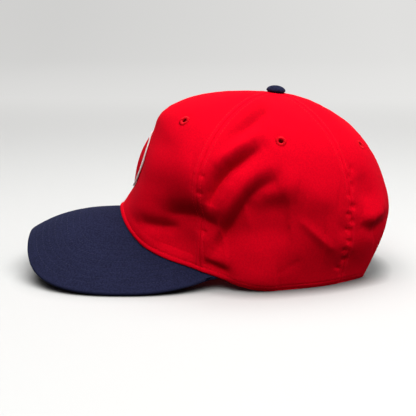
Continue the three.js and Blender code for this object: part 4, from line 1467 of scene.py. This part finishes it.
class CAP_OT_eyelets(bpy.types.Operator):
    """Make the sewn eyelet of each panel"""
    bl_idname = "cap.eyelets"
    bl_label = "Eyelets"

    def execute(self, context):
        thread = material_named("red_thread", context.scene.cap_finish)
        middle = (EYELET_RADIUS + EYELET_HOLE) / 2
        half = (EYELET_RADIUS - EYELET_HOLE) / 2
        around = round_angles(EYELET_SIDES)
        corner = round_angles(CORE_CORNERS)[:, None]
        radius = middle + CORE_SHARE * half * np.cos(corner) + 0 * around
        height = CORE_SHARE * EYELET_HEIGHT / 2 * np.sin(corner) + 0 * around
        core = ring_points(radius, around, height)
        loop = ring_points(middle, around, 0 * around)
        faces = tube_faces(CORE_CORNERS, EYELET_SIDES)
        for side_name, sign in SIDES:
            for panel in PANELS:
                centre, axis = eyelet_place(panel, sign)
                turn = np.array(Vector((0, 0, 1)).rotation_difference(Vector(axis)).to_matrix())
                ring = core @ turn.T + centre
                guide = (loop @ turn.T + centre, np.tile(axis, (len(loop), 1)), True)
                piece = stitched(
                    f"eyelet_{panel.name}_{side_name}_sewn", [guide], thread, context.scene.cap_sewing,
                    (ring, faces, 0 * ring), Pitch=2 * np.pi * middle / EYELET_THREADS * MM,
                    Along=DENSE_LENGTH * MM, Across=2 * half * MM, Height=EYELET_HEIGHT * MM,
                    Unevenness=DENSE_UNEVENNESS, Slant=math.radians(EYELET_SLANT), Seed=11)
                hand_over(piece, "red_cloth", f"eyelet_{panel.name}_{side_name}")
        return {"FINISHED"}


class CAP_OT_top_button(bpy.types.Operator):
    """Make the cloth-covered button with its post"""
    bl_idname = "cap.top_button"
    bl_label = "Top button"

    def execute(self, context):
        profile = [(BUTTON_POST_RADIUS, -BUTTON_POST_DEPTH), (BUTTON_POST_RADIUS, GAP)]
        profile.append((BUTTON_RADIUS - BUTTON_UNDERCUT, GAP))
        for angle in np.linspace(-BUTTON_UNDER_ANGLE, np.pi / 2, BUTTON_RINGS, endpoint=False):
            lift = BUTTON_HEIGHT - BUTTON_EDGE if angle > 0 else BUTTON_EDGE
            profile.append((BUTTON_RADIUS * math.cos(angle), BUTTON_EDGE + lift * math.sin(angle)))
        profile = np.array(profile)
        around = round_angles(BUTTON_SIDES)
        radius = profile[:, :1] + 0 * around
        height = profile[:, 1:] + 0 * around
        pleat = BUTTON_PLEAT_DEPTH * np.sin(BUTTON_PLEATS * around)
        pleat = pleat * bump_shape(height - BUTTON_EDGE, BUTTON_PLEAT_SPREAD)
        radius = radius + np.where(radius > BUTTON_POST_RADIUS + BUTTON_PLEAT_CLEAR, pleat, 0)
        rings = ring_points(radius, around, height)
        poles = np.array([[0, 0, -BUTTON_POST_DEPTH], [0, 0, BUTTON_HEIGHT]], float)
        points = np.concatenate([poles[:1], rings, poles[1:]])
        away = np.linalg.norm(points[:, :2], axis=-1) - BUTTON_RADIUS
        rub = BUTTON_RUB * bump_shape(away, BUTTON_RUB_SPREAD)
        navy = material_named("navy_twill", context.scene.cap_finish)
        faces = lathe_faces(len(profile), BUTTON_SIDES)
        piece = mesh_piece("top_button_cloth", tilted(points), faces, [navy], weave=points * MM, rub=rub)
        hand_over(piece, "navy_cloth", "top_button")
        return {"FINISHED"}


class CAP_OT_front_patch(bpy.types.Operator):
    """Make the raised oval patch and its sewn white edge"""
    bl_idname = "cap.front_patch"
    bl_label = "Front patch"

    def execute(self, context):
        finish = context.scene.cap_finish
        angle = round_angles(PATCH_SIDES)
        ring = np.sin(np.linspace(0, np.pi / 2, PATCH_RINGS + 1))[1:, None]
        dome = GAP + PATCH_RIM_RAISE + (PATCH_RAISE - PATCH_RIM_RAISE) * (1 - ring ** 2)
        back, _ = oval_point(front_point, angle, ring, 0, GAP)
        front, _ = oval_point(flat_point, angle, ring[::-1], 0, dome[::-1])
        middle = np.zeros(1)
        back_pole, _ = oval_point(front_point, middle, 0, 0, GAP)
        front_pole, _ = oval_point(flat_point, middle, 0, 0, GAP + PATCH_RAISE)
        points = np.concatenate([back_pole, back.reshape(-1, 3), front.reshape(-1, 3), front_pole])
        weave = points[:, [0, 2, 1]] * (MM, MM, 0)
        piece = mesh_piece("front_patch_cloth", points, lathe_faces(2 * PATCH_RINGS, PATCH_SIDES),
                           [material_named("red_twill", finish)], weave=weave)
        hand_over(piece, "red_cloth", "front_patch")

        thread = material_named("white_thread", finish)
        corner = round_angles(CORE_CORNERS)[:, None]
        spread = GAP + PATCH_EDGE_WIDTH / 2 * (1 + CORE_SHARE * np.cos(corner))
        low, _ = oval_point(front_point, angle, 1, spread, GAP)
        high, lifts = oval_point(flat_point, angle, 1, spread, GAP + PATCH_EDGE_RAISE)
        share = (1 + CORE_SHARE * np.sin(corner)) / 2
        ring = (low + (high - low) * share[..., None]).reshape(-1, 3)
        faces = tube_faces(CORE_CORNERS, PATCH_SIDES)
        line = ((low + high) / 2).mean(axis=0)
        piece = stitched(
            "front_patch_edge_sewn", [(line, lifts[0], True)], thread, context.scene.cap_sewing,
            (ring, faces, 0 * ring), Pitch=PATCH_THREAD_PITCH * MM, Along=DENSE_LENGTH * MM,
            Across=(PATCH_EDGE_WIDTH + GAP) * MM, Height=PATCH_THREAD_HEIGHT * MM,
            Unevenness=DENSE_UNEVENNESS, Slant=math.radians(PATCH_THREAD_SLANT), Seed=17)
        hand_over(piece, "white_thread", "front_patch_edge")
        return {"FINISHED"}


class CAP_OT_brim(bpy.types.Operator):
    """Arch the brim and sew its rows of stitches"""
    bl_idname = "cap.brim"
    bl_label = "Brim"

    def execute(self, context):
        brim = context.scene.cap_brim
        finish = context.scene.cap_finish
        navy = material_named("navy_twill", finish)
        points, faces, edge, pull = brim_sheet(brim)
        rub = BRIM_RUB * bump_shape(edge / MM, BRIM_RUB_SPREAD)
        piece = mesh_piece("brim_cloth", points, faces, [navy], edge=edge, row=pull, rub=rub,
                           weave=points * MM)
        run_tree(piece, shared_tree("Brim arch", arch_tree), {
            "Crest height": BRIM_CREST_Z * MM,
            "Crest place": (ARCH_CREST_Y + SHIFT_Y) * MM,
            "Tip run": (ARCH_CREST_Y - BRIM_TIP_Y) * MM,
            "Rear run": (BUTTON_Y - ARCH_CREST_Y) * MM,
            "Cloth": navy,
        })
        hand_over(piece, "navy_cloth", "brim")
        thread = material_named("navy_thread", finish)
        rows = stitched("brim_stitches", brim_guides(brim), thread, context.scene.cap_sewing,
                        Height=BRIM_STITCH_HEIGHT * MM, Across=BRIM_STITCH_WIDTH * MM, Seed=7)
        hand_over(rows, "navy_cloth")
        return {"FINISHED"}


class CAP_OT_sweatband(bpy.types.Operator):
    """Make the band inside the rim and its row of stitches"""
    bl_idname = "cap.sweatband"
    bl_label = "Sweatband"

    def execute(self, context):
        columns, rows = BAND_GRID
        finish = context.scene.cap_finish
        azimuth = np.linspace(-BAND_END, BAND_END, columns + 1)
        rim_z = rim_points(azimuth)[:, 2]
        heights = [rim_z + BAND_LIFT + BAND_HEIGHT * share for share in close_at_both_ends(rows)]
        points, faces, weave = band_wall(azimuth, heights, CLOTH + BAND_GAP, BAND_THICKNESS)
        navy = material_named("navy_twill", finish)
        piece = mesh_piece("sweatband_cloth", points, faces, [navy], weave=weave)
        hand_over(piece, "navy_cloth", "sweatband")
        rise = rise_at_height(azimuth, rim_z + BAND_LIFT + BAND_ROW)
        line, normal = lifted(azimuth, rise, -CLOTH - BAND_GAP - BAND_THICKNESS)
        thread = material_named("navy_thread", finish)
        row = stitched("sweatband_stitches", [(line, -normal, False)], thread,
                       context.scene.cap_sewing, Seed=19)
        hand_over(row, "navy_cloth")
        return {"FINISHED"}


class CAP_OT_snap_strap(bpy.types.Operator):
    """Make the strap across the back opening"""
    bl_idname = "cap.snap_strap"
    bl_label = "Snap strap"

    def execute(self, context):
        columns, rows = STRAP_GRID
        plastic = material_named("strap_plastic", context.scene.cap_finish)
        turn = np.linspace(-STRAP_HALF_SPAN, STRAP_HALF_SPAN, columns + 1)
        azimuth = wrap_azimuth(180 + turn)
        pull = STRAP_PULL_IN * np.cos(np.radians(90 * turn / STRAP_HALF_SPAN)) ** 2
        levels = STRAP_LOW + (STRAP_HIGH - STRAP_LOW) * close_at_both_ends(rows)
        heights = [level + 0 * turn for level in levels]
        wall = band_wall(azimuth, heights, CLOTH + GAP + pull, STRAP_THICKNESS)
        middle = np.full_like(turn, (STRAP_LOW + STRAP_HIGH) / 2)
        line, normal = lifted(azimuth, rise_at_height(azimuth, middle), -CLOTH - GAP - pull)
        keep = np.abs(turn) < STRAP_PEG_SPAN
        piece = stitched(
            "snap_strap_moulded", [(line[keep], normal[keep], False)], plastic, context.scene.cap_sewing,
            wall, Pitch=STRAP_PEG_PITCH * MM, Along=STRAP_PEG_WIDTH * MM, Across=STRAP_PEG_WIDTH * MM,
            Height=STRAP_PEG_HEIGHT * MM, Slant=0.0, Unevenness=0.0)
        hand_over(piece, "navy_plastic", "snap_strap")
        return {"FINISHED"}


# Stage

def floor_material():
    """Pale floor with a painted contact shadow where the cap comes near it, that goes over into an even
    backdrop behind the cap.
    """
    material, tree = new_material("pale_floor")
    place = node(tree, "ShaderNodeSeparateXYZ", {0: node(tree, "ShaderNodeTexCoord").outputs["Object"]})
    x, y = place.outputs[0], place.outputs[1]
    far = remap(tree, x, 0.0, 1.0, BACKDROP_START, BACKDROP_END, interpolation_type="SMOOTHSTEP")
    # Painted contact shadow: the floor's colour darkens where the cap is near, by ambient occlusion
    shadow_occlusion = node(tree, "ShaderNodeAmbientOcclusion", {"Distance": FLOOR_SHADOW_REACH}, samples=16)
    light = maths(tree, "POWER", shadow_occlusion.outputs["AO"], FLOOR_SHADOW_POWER)
    floor_with_painted_shadow = blend_colours(tree, light, FLOOR_PAINTED_SHADOW, FLOOR_PALE)
    tone = blend_colours(tree, far, floor_with_painted_shadow, (0, 0, 0, 1))
    depth = remap(tree, x, *GLOW_BY_DEPTH, *GLOW_DEPTHS)
    across = remap(tree, y, *GLOW_BY_SIDE, *GLOW_SIDES)
    glow = maths(tree, "MULTIPLY", far, maths(tree, "MULTIPLY", depth, across))
    return finish_material(material, tree, {
        "Base Color": tone, "Roughness": 0.9, "Specular IOR Level": 0.0,
        "Emission Color": GLOW_TINT, "Emission Strength": glow,
    })


def stage_floor():
    """Floor that sweeps up into a backdrop behind the cap."""
    turn = np.linspace(0, np.pi / 2, FLOOR_BEND_STEPS)
    flat = np.zeros(len(FLOOR_RUN))
    x = np.concatenate([FLOOR_RUN, -FLOOR_BACK - FLOOR_BEND * np.sin(turn), [-FLOOR_BACK - FLOOR_BEND]])
    z = np.concatenate([flat, FLOOR_BEND * (1 - np.cos(turn)), [FLOOR_WALL]])
    edges = (-FLOOR_HALF_WIDTH, FLOOR_HALF_WIDTH)
    points = np.concatenate([np.stack([x, y + 0 * x, z], axis=-1) for y in edges])
    mesh = bpy.data.meshes.new("pale_floor")
    mesh.from_pydata(points.tolist(), [], grid_faces(2, len(x)).reshape(-1, 4)[:, ::-1].tolist())
    mesh.polygons.foreach_set("use_smooth", [True] * len(mesh.polygons))
    mesh.materials.append(floor_material())
    floor = bpy.data.objects.new("pale_floor", mesh)
    bpy.context.scene.collection.objects.link(floor)
    floor.visible_diffuse = False


def area_light(name, place, aim, size, power):
    light = bpy.data.lights.new(name, "AREA")
    light.shape = "RECTANGLE"
    light.size, light.size_y = size
    light.energy = power
    lamp = bpy.data.objects.new(name, light)
    lamp.location = place
    lamp.rotation_euler = (Vector(aim) - Vector(place)).to_track_quat("-Z", "Y").to_euler()
    bpy.context.scene.collection.objects.link(lamp)


class CAP_OT_stage(bpy.types.Operator):
    """Set up the floor, the soft lights and the camera"""
    bl_idname = "cap.stage"
    bl_label = "Stage"

    def execute(self, context):
        stage = context.scene.cap_stage
        scene = context.scene
        stage_floor()
        area_light("key_overhead", *KEY_LIGHT, stage.key_power)
        area_light("fill_behind", *FILL_LIGHT, stage.fill_power)
        world = bpy.data.worlds.new("soft_room")
        world.use_nodes = True
        background = world.node_tree.nodes["Background"]
        background.inputs["Color"].default_value = (1, 1, 1, 1)
        background.inputs["Strength"].default_value = stage.ambient
        scene.world = world
        scene.view_settings.view_transform = "Standard"
        camera = bpy.data.cameras.new("camera")
        camera.sensor_width = SENSOR_WIDTH
        camera.lens = stage.lens
        aim = Vector((0, SHIFT_Y * MM, stage.aim_height))
        level = math.cos(stage.elevation)
        back = Vector((level * math.cos(stage.yaw), level * math.sin(stage.yaw), math.sin(stage.elevation)))
        viewer = bpy.data.objects.new("camera", camera)
        viewer.location = aim + back * stage.distance
        viewer.rotation_euler = back.to_track_quat("Z", "Y").to_euler()
        scene.collection.objects.link(viewer)
        scene.camera = viewer
        return {"FINISHED"}


# Add-on

OPERATORS = (
    CAP_OT_stage,
    CAP_OT_crown_panels,
    CAP_OT_crown_stitches,
    CAP_OT_eyelets,
    CAP_OT_top_button,
    CAP_OT_front_patch,
    CAP_OT_brim,
    CAP_OT_sweatband,
    CAP_OT_snap_strap,
)
GROUPS = (
    ("cap_sewing", CapSewing),
    ("cap_brim", CapBrim),
    ("cap_finish", CapFinish),
    ("cap_stage", CapStage),
)


class VIEW3D_PT_cap(bpy.types.Panel):
    """Lists the cap's sizes and the pieces to make"""
    bl_label = "Snapback Cap"
    bl_idname = "VIEW3D_PT_cap"
    bl_space_type = "VIEW_3D"
    bl_region_type = "UI"
    bl_category = "Cap"

    def draw(self, context):
        for operator in OPERATORS:
            self.layout.operator(operator.bl_idname)
        for name, group in GROUPS:
            box = self.layout.box()
            for key in group.__annotations__:
                box.prop(getattr(context.scene, name), key)


def register():
    for name, group in GROUPS:
        bpy.utils.register_class(group)
        setattr(bpy.types.Scene, name, PointerProperty(type=group))
    for operator in OPERATORS:
        bpy.utils.register_class(operator)
    bpy.utils.register_class(VIEW3D_PT_cap)


def unregister():
    bpy.utils.unregister_class(VIEW3D_PT_cap)
    for operator in reversed(OPERATORS):
        bpy.utils.unregister_class(operator)
    for name, group in reversed(GROUPS):
        delattr(bpy.types.Scene, name)
        bpy.utils.unregister_class(group)


def main():
    register()
    bpy.ops.cap.stage()
    bpy.ops.cap.crown_panels()
    bpy.ops.cap.crown_stitches()
    bpy.ops.cap.eyelets()
    bpy.ops.cap.top_button()
    bpy.ops.cap.front_patch()
    bpy.ops.cap.brim()
    bpy.ops.cap.sweatband()
    bpy.ops.cap.snap_strap()


if __name__ == "__main__":
    main()
